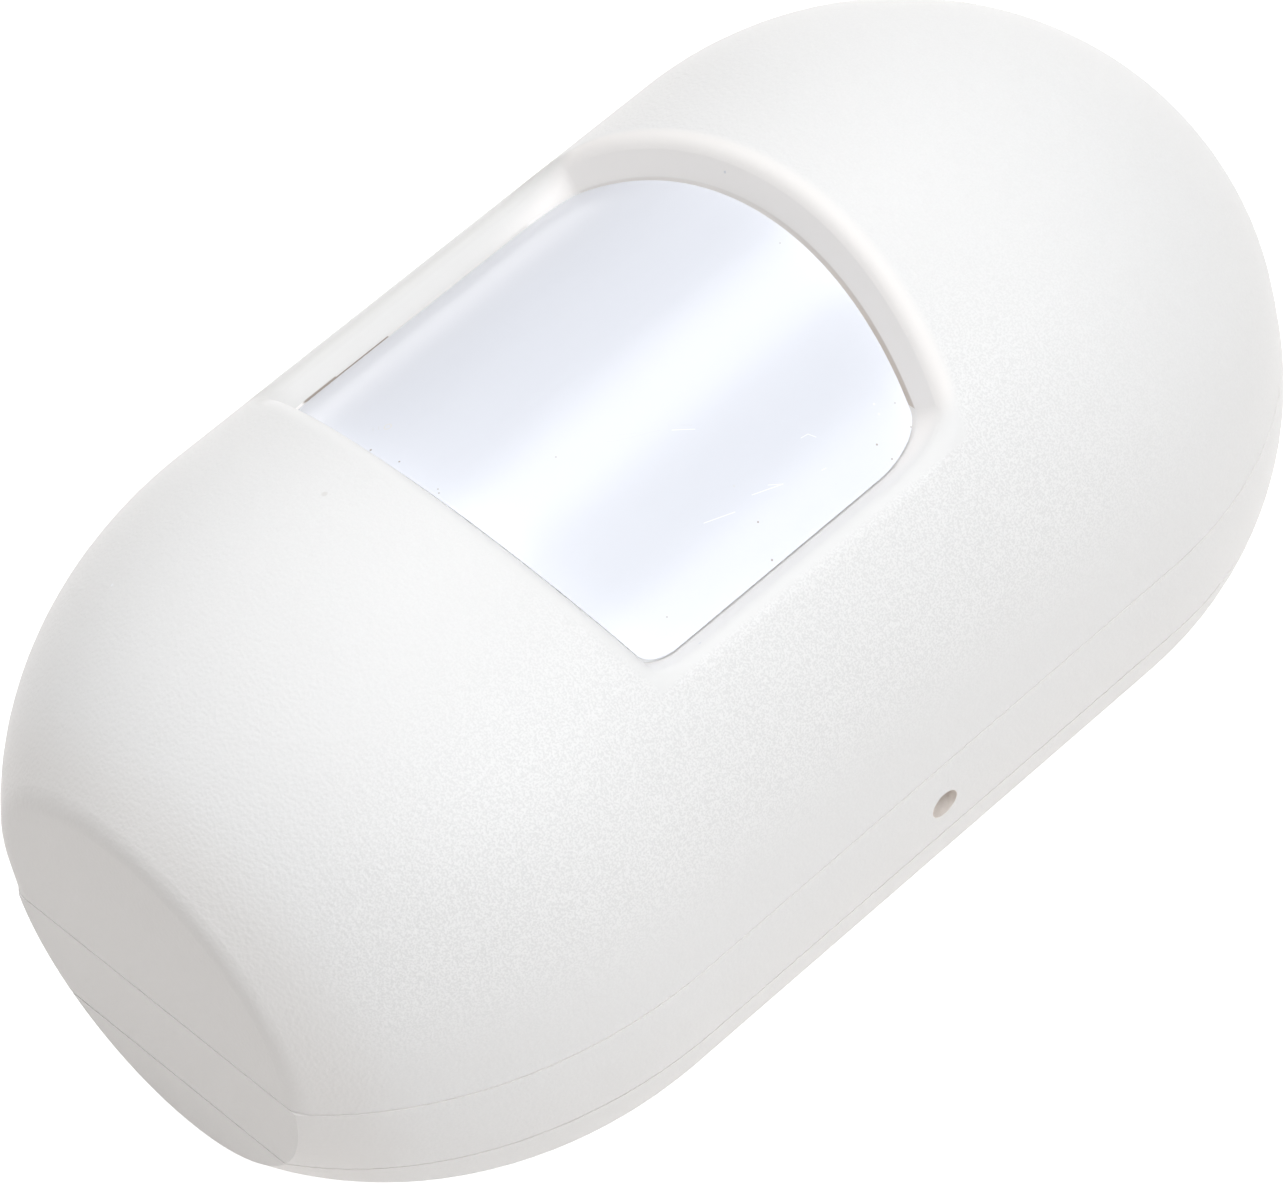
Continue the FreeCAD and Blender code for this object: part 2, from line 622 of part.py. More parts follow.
def make_sensor():
    """Can on its collar, with its filter window and three leads."""
    body = new_body("sensor_can", ("0", "0", CAN_BASE))
    pad(body, circle(body, "can_flange", "can_flange_diameter"), "can_flange_thickness")
    top = pad(body, circle(body, "can_wall", "can_diameter"), "can_height")
    edge_round(body, top, "can_edge", top_rim(size("can_height")))
    recess = rectangle(body, "filter_seat", "filter_length", "filter_width", "can_height")
    pocket(body, recess, "filter_thickness")
    collar = new_body("sensor_collar", ("0", "0", BOARD_TOP))
    pad(collar, circle(collar, "collar_outline", "collar_diameter"), "collar_height")
    pocket(collar, circle(collar, "collar_bore", "lead_circle + 4 * lead_diameter"))
    block("sensor_filter", ("filter_length", "filter_width", "filter_thickness"), ("0", "0"),
          f"{CAN_BASE} + can_height - filter_thickness")
    rise = f"{CAN_BASE} - ({BOARD_BASE}) + lead_tail"
    leads = [
        rod(f"lead_{number}", "lead_diameter / 2", rise, (x, y, f"{BOARD_BASE} - lead_tail"))
        for number, (x, y) in enumerate(LEADS, start=1)]
    group("sensor_leads", *leads)


# Battery, its cradle and contacts

CELL_LENGTH = "battery_length + battery_nub_height"
BAY_LENGTH = f"{CELL_LENGTH} + contact_thickness + contact_spring"
CRADLE_LENGTH = f"{BAY_LENGTH} + 2 * cradle_wall"
CRADLE_WIDTH = "battery_diameter + 2 * cradle_clearance + 2 * cradle_wall"
CELL_HEIGHT = f"{BOARD_TOP} + cradle_floor + battery_diameter / 2"
CELL_START = f"contact_spring - ({BAY_LENGTH}) / 2"


def make_battery():
    """Short fat cell lying across the board, with its raised contact nub."""
    across = (FreeCAD.Vector(0, 1, 0), 90)
    can = rod("cell_can", "battery_diameter / 2", "battery_length",
              (CELL_START, "battery_y", CELL_HEIGHT), across)
    soft = rounded("cell_rounded", can, size("battery_edge"), is_round)
    nub = rod("cell_nub", "battery_nub_diameter / 2", "battery_nub_height + battery_edge",
              (f"{CELL_START} + battery_length - battery_edge", "battery_y", CELL_HEIGHT), across)
    fuse("battery", soft, nub)


def make_cradle():
    """Open cradle with end walls and low sides, hollowed to the cell."""
    body = new_body("battery_cradle", ("0", "battery_y", BOARD_TOP))
    height = "cradle_floor + battery_diameter / 2"
    pad(body, rectangle(body, "cradle_outline", CRADLE_LENGTH, CRADLE_WIDTH), height)
    inside = rectangle(body, "cradle_bay", BAY_LENGTH, "battery_diameter + 2 * cradle_clearance", height)
    pocket(body, inside, "battery_diameter / 2")
    low = rectangle(body, "cradle_low_sides", BAY_LENGTH, CRADLE_WIDTH, height)
    pocket(body, low, "battery_diameter / 2 - cradle_side_height")
    return body


def make_contacts():
    """Flat plate at the nub and a plate with a spring cup at the other end."""
    base = f"{BOARD_TOP} + cradle_floor"
    block("positive_contact", ("contact_thickness", "contact_width", "contact_height"),
          (f"({BAY_LENGTH} - contact_thickness) / 2", "battery_y"), base)
    plate = block("spring_plate", ("contact_thickness", "contact_width", "contact_height"),
                  (f"(contact_thickness - ({BAY_LENGTH})) / 2", "battery_y"), base)
    cup = doc.addObject("Part::Cone", "spring_cup")
    cup.Placement = FreeCAD.Placement(FreeCAD.Vector(), FreeCAD.Rotation(FreeCAD.Vector(0, 1, 0), 90))
    bind(cup, {"Radius1": "contact_spring_diameter / 2", "Radius2": "contact_spring_diameter / 4",
               "Height": "contact_spring - contact_thickness / 2"})
    place(cup, (f"(contact_thickness - ({BAY_LENGTH})) / 2", "battery_y", CELL_HEIGHT))
    fuse("negative_contact", plate, cup)


# Small parts on the board


def make_led():
    """Indicator lamp with its flange and domed end."""
    at = ("led_x", "led_y", BOARD_TOP)
    flange = rod("led_flange", "led_flange_diameter / 2", "led_flange_height", at)
    stem = rod("led_stem", "led_diameter / 2", "led_height - led_diameter / 2", at)
    dome = doc.addObject("Part::Sphere", "led_dome")
    bind(dome, {"Radius": "led_diameter / 2"})
    place(dome, ("led_x", "led_y", f"{BOARD_TOP} + led_height - led_diameter / 2"))
    fuse("indicator_lamp", flange, stem, dome)


def make_controller():
    """Square chip with a row of pins on each side."""
    body = new_body("controller_chip", ("controller_x", "controller_y", BOARD_TOP))
    pad(body, rectangle(body, "chip_case", "controller_size", "controller_size"), "controller_height")
    first = "-(controller_pins - 1) * pin_pitch / 2"
    for side, centre in (("rows", (first, "0")), ("columns", ("0", first))):
        long_side = "controller_size + 2 * pin_reach"
        spans = ("pin_width", long_side) if side == "rows" else (long_side, "pin_width")
        pins = pad(body, rectangle(body, f"pins_{side}", *spans, centre=centre), "pin_rise")
        pattern = body.newObject("PartDesign::LinearPattern", f"pins_{side}_pattern")
        pattern.Originals = [pins]
        axis = "X_Axis" if side == "rows" else "Y_Axis"
        line = next(item for item in body.Origin.OriginFeatures if item.Role == axis)
        pattern.Direction = (line, [""])
        pattern.Mode = 0
        bind(pattern, {"Occurrences": "controller_pins", "Length": "(controller_pins - 1) * pin_pitch"})
        body.Tip = pattern
    return body


def make_crystal():
    """Low metal can with round ends."""
    body = new_body("timing_crystal", ("crystal_x", "crystal_y", BOARD_TOP))
    base = pad(body, rectangle(body, "crystal_outline", "crystal_length", "crystal_width"), "crystal_height")
    edge_round(body, base, "crystal_width * 0.49", upright)
    return body


def make_capacitor():
    """Round capacitor can on its square base."""
    base = block("capacitor_foot", ("capacitor_diameter", "capacitor_diameter", "capacitor_base"),
                 ("capacitor_x", "capacitor_y"), BOARD_TOP)
    can = rod("capacitor_can", "capacitor_diameter / 2", "capacitor_height",
              ("capacitor_x", "capacitor_y", BOARD_TOP))
    doc.recompute()
    top = rounded("capacitor_rounded", can, size("capacitor_edge"), top_rim(can.Shape.BoundBox.ZMax))
    fuse("smoothing_capacitor", base, top)


def make_chip_row(name, x):
    """Row of small identical parts, kept together as separate solids."""
    chips = [
        block(f"{name}_{index}", ("chip_length", "chip_width", "chip_height"),
              (x, f"chip_row_y + {index} * chip_pitch"), BOARD_TOP)
        for index in range(int(size("chip_count")))]
    group(name, *chips)


def make_radio():
    """Radio board with its pressed metal shield and bent wire antenna."""
    body = new_body("radio_board", (RADIO_X, "radio_y", BOARD_TOP))
    pad(body, rectangle(body, "radio_outline", "radio_width", "radio_length"), "radio_thickness")
    seat = f"{BOARD_TOP} + radio_thickness"
    shield = new_body("radio_shield", (RADIO_X, "radio_y - shield_shift", seat))
    top = pad(shield, rectangle(shield, "shield_outline", "shield_width", "shield_length"), "shield_height")
    edge_round(shield, top, "shield_edge", upright)
    hollow = rectangle(shield, "shield_hollow", "shield_width - 2 * shield_wall",
                       "shield_length - 2 * shield_wall", "shield_height - shield_wall")
    pocket(shield, hollow, "shield_height")
    make_antenna()


def make_antenna():
    """Wire that rises from the radio board, bends and runs across."""
    x = f"{RADIO_X} - radio_width / 2 + antenna_inset"
    y = "radio_y + radio_length / 2 - antenna_inset"
    foot = f"{BOARD_TOP} + radio_thickness"
    upright_wire = rod("antenna_upright", "antenna_diameter / 2", "antenna_rise", (x, y, foot))
    bend = doc.addObject("Part::Torus", "antenna_elbow")
    bend.Placement = FreeCAD.Placement(FreeCAD.Vector(), FreeCAD.Rotation(
        FreeCAD.Vector(-1, 0, 0), FreeCAD.Vector(0, 0, 1), FreeCAD.Vector(0, 1, 0), "XYZ"))
    bend.Angle3 = 90
    bind(bend, {"Radius1": "antenna_bend", "Radius2": "antenna_diameter / 2"})
    place(bend, (f"{x} + antenna_bend", y, f"{foot} + antenna_rise"))
    level = rod("antenna_level", "antenna_diameter / 2", "antenna_reach",
                (f"{x} + antenna_bend", y, f"{foot} + antenna_rise + antenna_bend"),
                (FreeCAD.Vector(0, 1, 0), 90))
    fuse("antenna_wire", upright_wire, bend, level)


def make_header():
    """Two-pin setting header with its push-on jumper."""
    row = ("2 * header_pitch", "header_pitch", "header_height")
    spots = [("header_x - header_pitch / 2", "header_y"), ("header_x + header_pitch / 2", "header_y")]
    base = block("header_base", row, ("header_x", "header_y"), BOARD_TOP)
    pins = [
        block(f"header_pin_{number}", ("header_pin", "header_pin", "header_pin_height"), spot, BOARD_TOP)
        for number, spot in enumerate(spots, start=1)]
    fuse("setting_header", base, *pins)
    lift = f"{BOARD_TOP} + header_height + jumper_lift"
    cap = block("jumper_block", ("2 * header_pitch", "header_pitch", "jumper_height"),
                ("header_x", "header_y"), lift)
    sockets = [
        block(f"jumper_socket_{number}", ("header_pin", "header_pin", "header_pin_height"), spot, BOARD_TOP)
        for number, spot in enumerate(spots, start=1)]
    cut("setting_jumper", cap, *sockets)


# Screws


def make_screws(name, spots, diameter, length, seat):
    """Identical screws with slotted heads, each seated at its hole."""
    screws = []
    for number, (x, y) in enumerate(spots, start=1):
        radius = f"{diameter} / 2 + screw_head_rim"
        shank = rod(f"{name}_shank_{number}", f"{diameter} / 2", length, (x, y, f"{seat} - {length}"))
        head = rod(f"{name}_head_{number}", radius, "screw_head_height", (x, y, seat))
        across = f"2 * {diameter} + 4 * screw_head_rim"
        slot = block(f"{name}_slot_{number}", (across, "slot_width", "slot_depth"),
                     (x, y), f"{seat} + screw_head_height - slot_depth")
        screws.append(cut(f"{name}_{number}", fuse(f"{name}_blank_{number}", shank, head), slot))
    group(name, *screws)


make_front_cover()
make_lens()
make_retainer()
make_back_housing()
make_mounting_plate()
make_main_board()
make_sensor()
make_battery()
make_cradle()
make_contacts()
make_led()
make_controller()
make_crystal()
make_capacitor()
make_chip_row("ceramic_capacitors", "chip_capacitor_x")
make_chip_row("chip_resistors", "chip_resistor_x")
make_radio()
make_header()
make_screws("board_screws", SCREWED, "board_screw_diameter", "board_screw_length", BOARD_TOP)
make_screws("plate_screws", (("plate_screw_x", "0"), ("-plate_screw_x", "0")),
            "plate_screw_diameter", "plate_screw_length", FLOOR_TOP)

NODES = [
    "front_cover", "fresnel_lens", "lens_retainer", "back_housing", "mounting_plate", "main_board",
    "sensor_can", "sensor_collar", "sensor_filter", "sensor_leads", "battery", "battery_cradle",
    "positive_contact", "negative_contact", "indicator_lamp", "controller_chip", "timing_crystal",
    "smoothing_capacitor", "ceramic_capacitors", "chip_resistors", "radio_board", "radio_shield",
    "antenna_wire", "setting_header", "setting_jumper", "board_screws", "plate_screws",
]

# Checks and files

doc.recompute()
for thing in doc.Objects:
    if {"Invalid", "Error"} & set(thing.State):
        raise RuntimeError(f"{thing.Name} did not build: {thing.State}")
os.makedirs("parts", exist_ok=True)
for name in NODES:
    thing = doc.getObject(name)
    thing.Label = name
    if thing.Shape.isNull() or not thing.Shape.isValid():
        raise RuntimeError(f"{name} has no valid shape")
    thing.Shape.exportStep(f"parts/{name}.step")
    print(f"{name}: {len(thing.Shape.Solids)} solids, {thing.Shape.Volume:.1f} cubic mm")
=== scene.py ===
"""Looks of a wall-hung motion sensor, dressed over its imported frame.

The case lies on its flat back. X runs across it, Y towards its top end and Z out of the wall.
"""

import json
import logging
import math
from collections.abc import Callable
from dataclasses import dataclass, field
from enum import Enum

import bmesh
import bpy
from mathutils import Matrix, Vector


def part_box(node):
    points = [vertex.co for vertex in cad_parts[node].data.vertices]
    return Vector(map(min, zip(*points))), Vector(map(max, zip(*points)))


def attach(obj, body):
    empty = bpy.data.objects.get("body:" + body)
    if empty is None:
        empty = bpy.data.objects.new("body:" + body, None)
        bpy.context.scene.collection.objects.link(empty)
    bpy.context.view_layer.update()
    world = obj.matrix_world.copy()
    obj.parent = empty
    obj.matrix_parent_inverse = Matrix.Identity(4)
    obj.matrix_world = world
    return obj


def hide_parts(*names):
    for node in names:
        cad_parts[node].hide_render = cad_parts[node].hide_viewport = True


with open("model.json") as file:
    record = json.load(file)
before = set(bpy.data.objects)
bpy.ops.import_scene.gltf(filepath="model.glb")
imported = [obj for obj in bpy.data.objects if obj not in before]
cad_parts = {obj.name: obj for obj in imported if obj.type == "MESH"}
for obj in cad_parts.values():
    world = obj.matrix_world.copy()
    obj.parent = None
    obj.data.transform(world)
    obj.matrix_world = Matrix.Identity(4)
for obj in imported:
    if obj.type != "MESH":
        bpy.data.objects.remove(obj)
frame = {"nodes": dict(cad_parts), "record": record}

log = logging.getLogger("motion_sensor")
MM = 0.001
Colour = tuple[float, float, float]
Socket = bpy.types.NodeSocket


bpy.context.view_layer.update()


# Shader building


class Shader:
    """A material's node tree, with short words for the nodes that the finishes share."""

    def __init__(self, name: str) -> None:
        """Start an empty material with its output.

        Args:
            name: name of the material.
        """
        self.material = bpy.data.materials.new(name)
        self.material.use_nodes = True
        self.tree = self.material.node_tree
        self.tree.nodes.clear()
        self.output = self.tree.nodes.new("ShaderNodeOutputMaterial")
        self.surface = self.tree.nodes.new("ShaderNodeBsdfPrincipled")
        self.tree.links.new(self.surface.outputs["BSDF"], self.output.inputs["Surface"])
        self.place = self.tree.nodes.new("ShaderNodeTexCoord").outputs["Object"]

    def set(self, **values: object) -> None:
        """Set sockets of the surface, with underscores for the spaces in their names."""
        for word, value in values.items():
            label = word.replace("_", " ")
            socket = next(item for item in self.surface.inputs if item.name.lower() == label)
            if isinstance(value, Socket):
                self.tree.links.new(value, socket)
            elif isinstance(value, tuple) and socket.type == "RGBA":
                socket.default_value = (*value, 1.0)
            else:
                socket.default_value = value

    def math(self, kind: str, *values: object) -> Socket:
        """Result of one arithmetic node.

        Args:
            kind: the operation, such as "ADD".
            values: numbers or sockets.

        Returns:
            The node's value.
        """
        node = self.tree.nodes.new("ShaderNodeMath")
        node.operation = kind
        for slot, value in zip(node.inputs, values):
            if isinstance(value, Socket):
                self.tree.links.new(value, slot)
            else:
                slot.default_value = value
        return node.outputs[0]

    def axes(self) -> tuple[Socket, Socket, Socket]:
        """X, Y and Z of the object's own coordinates."""
        node = self.tree.nodes.new("ShaderNodeSeparateXYZ")
        self.tree.links.new(self.place, node.inputs[0])
        return node.outputs[0], node.outputs[1], node.outputs[2]

    def radial(self, height: float) -> Socket:
        """Distance from a line along Y at a height.

        Args:
            height: height of the line, in metres.

        Returns:
            The distance in metres.
        """
        across, _, up = self.axes()
        over = self.math("SUBTRACT", up, height)
        return self.math("SQRT", self.math("ADD", self.math("MULTIPLY", over, over),
                                           self.math("MULTIPLY", across, across)))

    def ramp(self, value: Socket, low: float, high: float) -> Socket:
        """Smooth rise from 0 at one value to 1 at another.

        Args:
            value: what is measured.
            low: value that gives 0.
            high: value that gives 1.

        Returns:
            The share between 0 and 1.
        """
        node = self.tree.nodes.new("ShaderNodeMapRange")
        node.interpolation_type = "SMOOTHSTEP"
        node.inputs["From Min"].default_value = low
        node.inputs["From Max"].default_value = high
        self.tree.links.new(value, node.inputs["Value"])
        return node.outputs["Result"]

    def vector(self, kind: str, *values: object, scale: object = None) -> Socket:
        """Result of one vector arithmetic node.

        Args:
            kind: the operation, such as "SUBTRACT".
            values: vectors or sockets.
            scale: number or socket for the operation "SCALE".

        Returns:
            The node's number for "DOT_PRODUCT", "LENGTH" and "DISTANCE", else its vector.
        """
        node = self.tree.nodes.new("ShaderNodeVectorMath")
        node.operation = kind
        pairs = [*zip(node.inputs, values)]
        if scale is not None:
            pairs.append((node.inputs["Scale"], scale))
        for slot, value in pairs:
            if isinstance(value, Socket):
                self.tree.links.new(value, slot)
            else:
                slot.default_value = value
        return node.outputs["Value" if kind in ("DOT_PRODUCT", "LENGTH", "DISTANCE") else "Vector"]

    def largest(self, *values: Socket) -> Socket:
        """Greatest of several numbers."""
        result = values[0]
        for value in values[1:]:
            result = self.math("MAXIMUM", result, value)
        return result

    def stroke(self, start: Colour, end: Colour, width: float, radius: float = 0.0) -> Socket:
        """Mask of a thin straight or ring-shaped mark.

        Args:
            start: one end, in metres.
            end: other end, or the same point for a speck or a ring.
            width: how wide the mark is.
            radius: how far from that line it runs, for a ring.

        Returns:
            1 along its middle and 0 beside it.
        """
        run = Vector(end) - Vector(start)
        nearest = self.vector("SUBTRACT", self.place, start)
        if run.length > 0.0:
            share = self.math("MULTIPLY", self.vector("DOT_PRODUCT", nearest, tuple(run)),
                              1.0 / run.length_squared)
            share.node.use_clamp = True
            nearest = self.vector("SUBTRACT", nearest, self.vector("SCALE", tuple(run), scale=share))
        away = self.vector("LENGTH", nearest)
        if radius > 0.0:
            away = self.math("ABSOLUTE", self.math("SUBTRACT", away, radius))
        return self.math("SUBTRACT", 1.0, self.ramp(away, 0.2 * width, 0.5 * width))

    def noise(self, grain: float, detail: float = 2.0, rough: float = 0.5,
              stretch: Colour = (1.0, 1.0, 1.0)) -> Socket:
        """Cloudy pattern in three dimensions.

        Args:
            grain: size of its features, in metres.
            detail: how many finer layers it has.
            rough: how strong the finer layers are.
            stretch: how much longer the features are along X, Y and Z.

        Returns:
            Its height, from 0 to 1.
        """
        node = self.tree.nodes.new("ShaderNodeTexNoise")
        node.inputs["Scale"].default_value = 1.0 / grain
        node.inputs["Detail"].default_value = detail
        node.inputs["Roughness"].default_value = rough
        place = self.place
        if stretch != (1.0, 1.0, 1.0):
            place = self.vector("DIVIDE", place, stretch)
        self.tree.links.new(place, node.inputs["Vector"])
        return node.outputs["Fac"]

    def cells(self, grain: float) -> Socket:
        """Distance to the middle of the nearest of many small cells.

        Args:
            grain: size of the cells, in metres.

        Returns:
            The distance, as a share of a cell.
        """
        node = self.tree.nodes.new("ShaderNodeTexVoronoi")
        node.feature = "F1"
        node.inputs["Scale"].default_value = 1.0 / grain
        self.tree.links.new(self.place, node.inputs["Vector"])
        return node.outputs["Distance"]

    def blend(self, share: object, first: object, second: object) -> Socket:
        """Colour between two colours.

        Args:
            share: 0 gives the first, 1 the second.
            first: colour or socket.
            second: colour or socket.

        Returns:
            The mixed colour.
        """
        node = self.tree.nodes.new("ShaderNodeMix")
        node.data_type = "RGBA"
        named = {item.identifier: item for item in node.inputs}
        pairs = (("Factor_Float", share), ("A_Color", first), ("B_Color", second))
        for label, value in pairs:
            if isinstance(value, Socket):
                self.tree.links.new(value, named[label])
            elif isinstance(value, tuple):
                named[label].default_value = (*value, 1.0)
            else:
                named[label].default_value = value
        return next(item for item in node.outputs if item.identifier == "Result_Color")

    def relief(self, height: Socket, depth: float) -> None:
        """Raise the surface by a height pattern.

        Args:
            height: the pattern, from 0 to 1.
            depth: metres between 0 and 1.
        """
        node = self.tree.nodes.new("ShaderNodeBump")
        node.inputs["Strength"].default_value = 1.0
        node.inputs["Distance"].default_value = depth
        self.tree.links.new(height, node.inputs["Height"])
        self.tree.links.new(node.outputs["Normal"], self.surface.inputs["Normal"])


def dress(node: bpy.types.Object, material: bpy.types.Material) -> None:
    """Give every slot of an object one material."""
    if not node.material_slots:
        node.data.materials.append(material)
    for slot in node.material_slots:
        slot.material = material


# Finishes


class MarkKind(Enum):
    """Colour of a small mark: a scratch, speck or stain on the plastic, or a painted shadow line or glint."""

    PALE = (0.95, 0.955, 0.975)
    DIRT = (0.38, 0.33, 0.30)
    DEEP = (0.36, 0.31, 0.27)
    FAINT = (0.74, 0.75, 0.78)
    STAIN = (0.78, 0.765, 0.745)


@dataclass(frozen=True)
class Mark:
    """Scratch, speck, ring, painted shadow line or painted glint on a surface, by its ends in millimetres."""

    kind: MarkKind
    start: Colour
    end: Colour | None = None
    width: float = 0.25
    radius: float = 0.0

    def mask(self, shader: Shader) -> Socket:
        """Where the mark lies."""
        start, end = (tuple(value * MM for value in (place or self.start)) for place in (self.start, self.end))
        return shader.stroke(start, end, self.width * MM, self.radius * MM)


def marked(shader: Shader, colour: object, marks: tuple[Mark, ...]) -> object:
    """Lay marks over a colour.

    Args:
        shader: material that is being made.
        colour: colour or socket under the marks.
        marks: the marks.

    Returns:
        The colour with the marks.
    """
    for kind in MarkKind:
        masks = [mark.mask(shader) for mark in marks if mark.kind is kind]
        if masks:
            colour = shader.blend(shader.largest(*masks), colour, kind.value)
    return colour


@dataclass(frozen=True)
class ShellPlastic:
    """Warm white moulded case, grained outside and smooth in the lens recess, with painted light and shade in
    its colour.
    """

    name: str = "shell_plastic"
    colour: Colour = (0.865, 0.858, 0.850)
    # Painted light on the smooth recess walls above the lens, standing in for light reflected and shone
    # through the plastic.
    recess_painted_light_colour: Colour = (0.950, 0.922, 0.900)
    roughness: float = 0.46
    gloss: float = 0.32
    grain: float = 0.26 * MM
    grain_depth: float = 0.045 * MM
    # Painted shade in the grain's pits and painted sparkle on its peaks, strongest on the right flank where
    # the highlight falls.
    pit_grain: float = 0.15 * MM
    pit_painted_shade: float = 0.945
    peak_painted_sparkle: float = 1.060
    pit_share: float = 0.14
    flank_across: tuple[float, float] = (10 * MM, 24 * MM)
    flank_along: tuple[float, float] = (12 * MM, 34 * MM)
    flank_height: tuple[float, float] = (19 * MM, 29 * MM)
    # Painted shade on the recess floor strip left of the lens.
    strip_painted_shade_colour: Colour = (0.74, 0.73, 0.715)
    smooth_band: float = 1.6 * MM
    half_width: float = 20.3 * MM
    window_top: float = 15.85 * MM
    window_bottom: float = 19.2 * MM
    edge_height: float = 34.96 * MM
    # Painted shadow along the foot of the recess wall above the lens.
    foot_painted_shadow_colour: Colour = (0.72, 0.66, 0.61)
    foot_reach: tuple[float, float] = (31.12 * MM, 31.26 * MM)
    foot_across: tuple[float, float] = (-6 * MM, 19 * MM)
    foot_along: tuple[float, float] = (12 * MM, 17 * MM)
    window_floor: float = 30 * MM
    lens_axis: float = 11.4 * MM
    lens_radius: float = 31.25 * MM
    middle_height: float = 42.5 * MM
    # Painted light on the faces in the parting gaps and round the lens, which lifts their shade.
    gap_painted_light_colour: Colour = (0.95, 0.93, 0.915)
    # Painted glow in the side hole, standing in for light shining through the plastic.
    bore_painted_glow_colour: Colour = (0.97, 0.90, 0.84)
    # Painted shade towards the bottom end of the case.
    end_painted_shade_colour: Colour = (0.836, 0.818, 0.802)
    end_along: tuple[float, float] = (46 * MM, 51.5 * MM)
    gap_heights: tuple[float, ...] = (16.375 * MM, 7.675 * MM)
    gap_reach: float = 0.09 * MM
    hole_along: float = -1.0 * MM
    hole_height: float = 11.9 * MM
    hole_reach: float = 1.27 * MM
    hole_start: float = 25.0 * MM
    side_flare: float = 60.0
    top_flare: float = 33.0
    bottom_flare: float = 16.7
    marks: tuple[Mark, ...] = (
        Mark(MarkKind.STAIN, (-3.62, -24.92, 44.81), width=0.66),
        Mark(MarkKind.FAINT, (21.64, -13.16, 35.73), width=0.3),
        Mark(MarkKind.FAINT, (-4.97, 16.38, 43.32), width=0.3),
        # Painted highlight: a tiny glint painted as a pale speck.
        Mark(MarkKind.PALE, (-13.71, -38.48, 39.94), width=0.35),
        # Painted shadow of the gap beside the lens: a dark line at the foot of the left window wall, fainter
        # upwards.
        Mark(MarkKind.DEEP, (-20.34, -19.30, 34.98), (-20.34, -12.0, 34.98), 0.30),
        Mark(MarkKind.DEEP, (-20.32, -12.5, 34.96), (-20.32, -6.0, 34.96), 0.20),
        Mark(MarkKind.STAIN, (-20.34, -6.5, 34.98), (-20.34, 14.0, 34.98), 0.34),
    )

    def recess_distance(self, shader: Shader) -> Socket:
        """How far outside the flared walls of the lens recess a point lies.

        Args:
            shader: material that is being made.

        Returns:
            The distance in metres, below 0 inside.
        """
        across, along, height = shader.axes()
        side, top, bottom = (
            math.tan(math.radians(angle))
            for angle in (self.side_flare, self.top_flare, self.bottom_flare))
        over_edge = shader.math("SUBTRACT", height, self.edge_height)
        over_middle = shader.math("SUBTRACT", height, self.middle_height)
        wide = shader.math("SUBTRACT", shader.math("ABSOLUTE", across), self.half_width)
        wide = shader.math("SUBTRACT", wide, shader.math("MULTIPLY", over_edge, side))
        upper = shader.math("SUBTRACT", along, self.window_top)
        upper = shader.math("SUBTRACT", upper, shader.math("MULTIPLY", over_middle, top))
        lower = shader.math("MULTIPLY_ADD", along, -1.0, -self.window_bottom)
        lower = shader.math("SUBTRACT", lower, shader.math("MULTIPLY", over_middle, bottom))
        return shader.largest(wide, upper, lower)

    def gap(self, shader: Shader) -> tuple[Socket, Socket]:
        """Masks of the faces that look into the parting gaps, and of the side hole, which get painted light.

        Args:
            shader: material that is being made.

        Returns:
            1 in the gaps, and 1 in the hole.
        """
        across, along, height = shader.axes()
        masks = []
        for middle in self.gap_heights:
            away = shader.math("ABSOLUTE", shader.math("SUBTRACT", height, middle))
            masks.append(shader.math("LESS_THAN", away, self.gap_reach))
        over = shader.math("SUBTRACT", height, self.hole_height)
        beside = shader.math("SUBTRACT", along, self.hole_along)
        away = shader.math("SQRT", shader.math("ADD", shader.math("MULTIPLY", over, over),
                                               shader.math("MULTIPLY", beside, beside)))
        bore_glow = shader.math("LESS_THAN", away, self.hole_reach)
        bore_glow = shader.math("MULTIPLY", bore_glow, shader.math("GREATER_THAN", across, self.hole_start))
        inside = shader.largest(
            shader.math("SUBTRACT", shader.math("ABSOLUTE", across), self.half_width),
            shader.math("SUBTRACT", along, self.window_top),
            shader.math("MULTIPLY_ADD", along, -1.0, -self.window_bottom))
        under = shader.math("MULTIPLY", shader.math("GREATER_THAN", height, self.window_floor),
                            shader.math("LESS_THAN", shader.radial(self.lens_axis), self.lens_radius))
        masks.append(shader.math("MULTIPLY", under, shader.math("LESS_THAN", inside, self.gap_reach)))
        return shader.largest(*masks), bore_glow

    def build(self) -> bpy.types.Material:
        """Make the material."""
        shader = Shader(self.name)
        grained = shader.ramp(self.recess_distance(shader), 0.3 * self.smooth_band, self.smooth_band)
        fine = shader.math("MULTIPLY_ADD", shader.noise(self.grain, 1.0), 0.6,
                           shader.math("MULTIPLY", shader.cells(self.grain * 1.3), 0.5))
        shader.relief(shader.math("MULTIPLY", fine, grained), self.grain_depth)
        # Painted shade in the pits and painted sparkle on the peaks of the grain, mostly on the right flank
        # under the highlight.
        pits = shader.ramp(shader.noise(self.pit_grain, 1.0), 0.38, 0.62)
        cloud = shader.ramp(shader.noise(26 * MM, 2.0), 0.3, 0.7)
        darker = tuple(value * 0.994 for value in self.colour)
        across, along, height = shader.axes()
        sparkle_flank = shader.math("MULTIPLY", shader.ramp(across, *self.flank_across),
                            shader.ramp(height, *self.flank_height))
        sparkle_flank = shader.math("MULTIPLY", sparkle_flank,
                            shader.math("SUBTRACT", 1.0, shader.ramp(along, *self.flank_along)))
        sparkle_flank = shader.math("MULTIPLY", grained, shader.math("MULTIPLY_ADD", sparkle_flank, 1.0 - self.pit_share,
                                                             self.pit_share))
        peak, pit = (tuple(value * shade for value in self.colour)
                     for shade in (self.peak_painted_sparkle, self.pit_painted_shade))
        colour = shader.blend(sparkle_flank, shader.blend(cloud, self.colour, darker), shader.blend(pits, peak, pit))
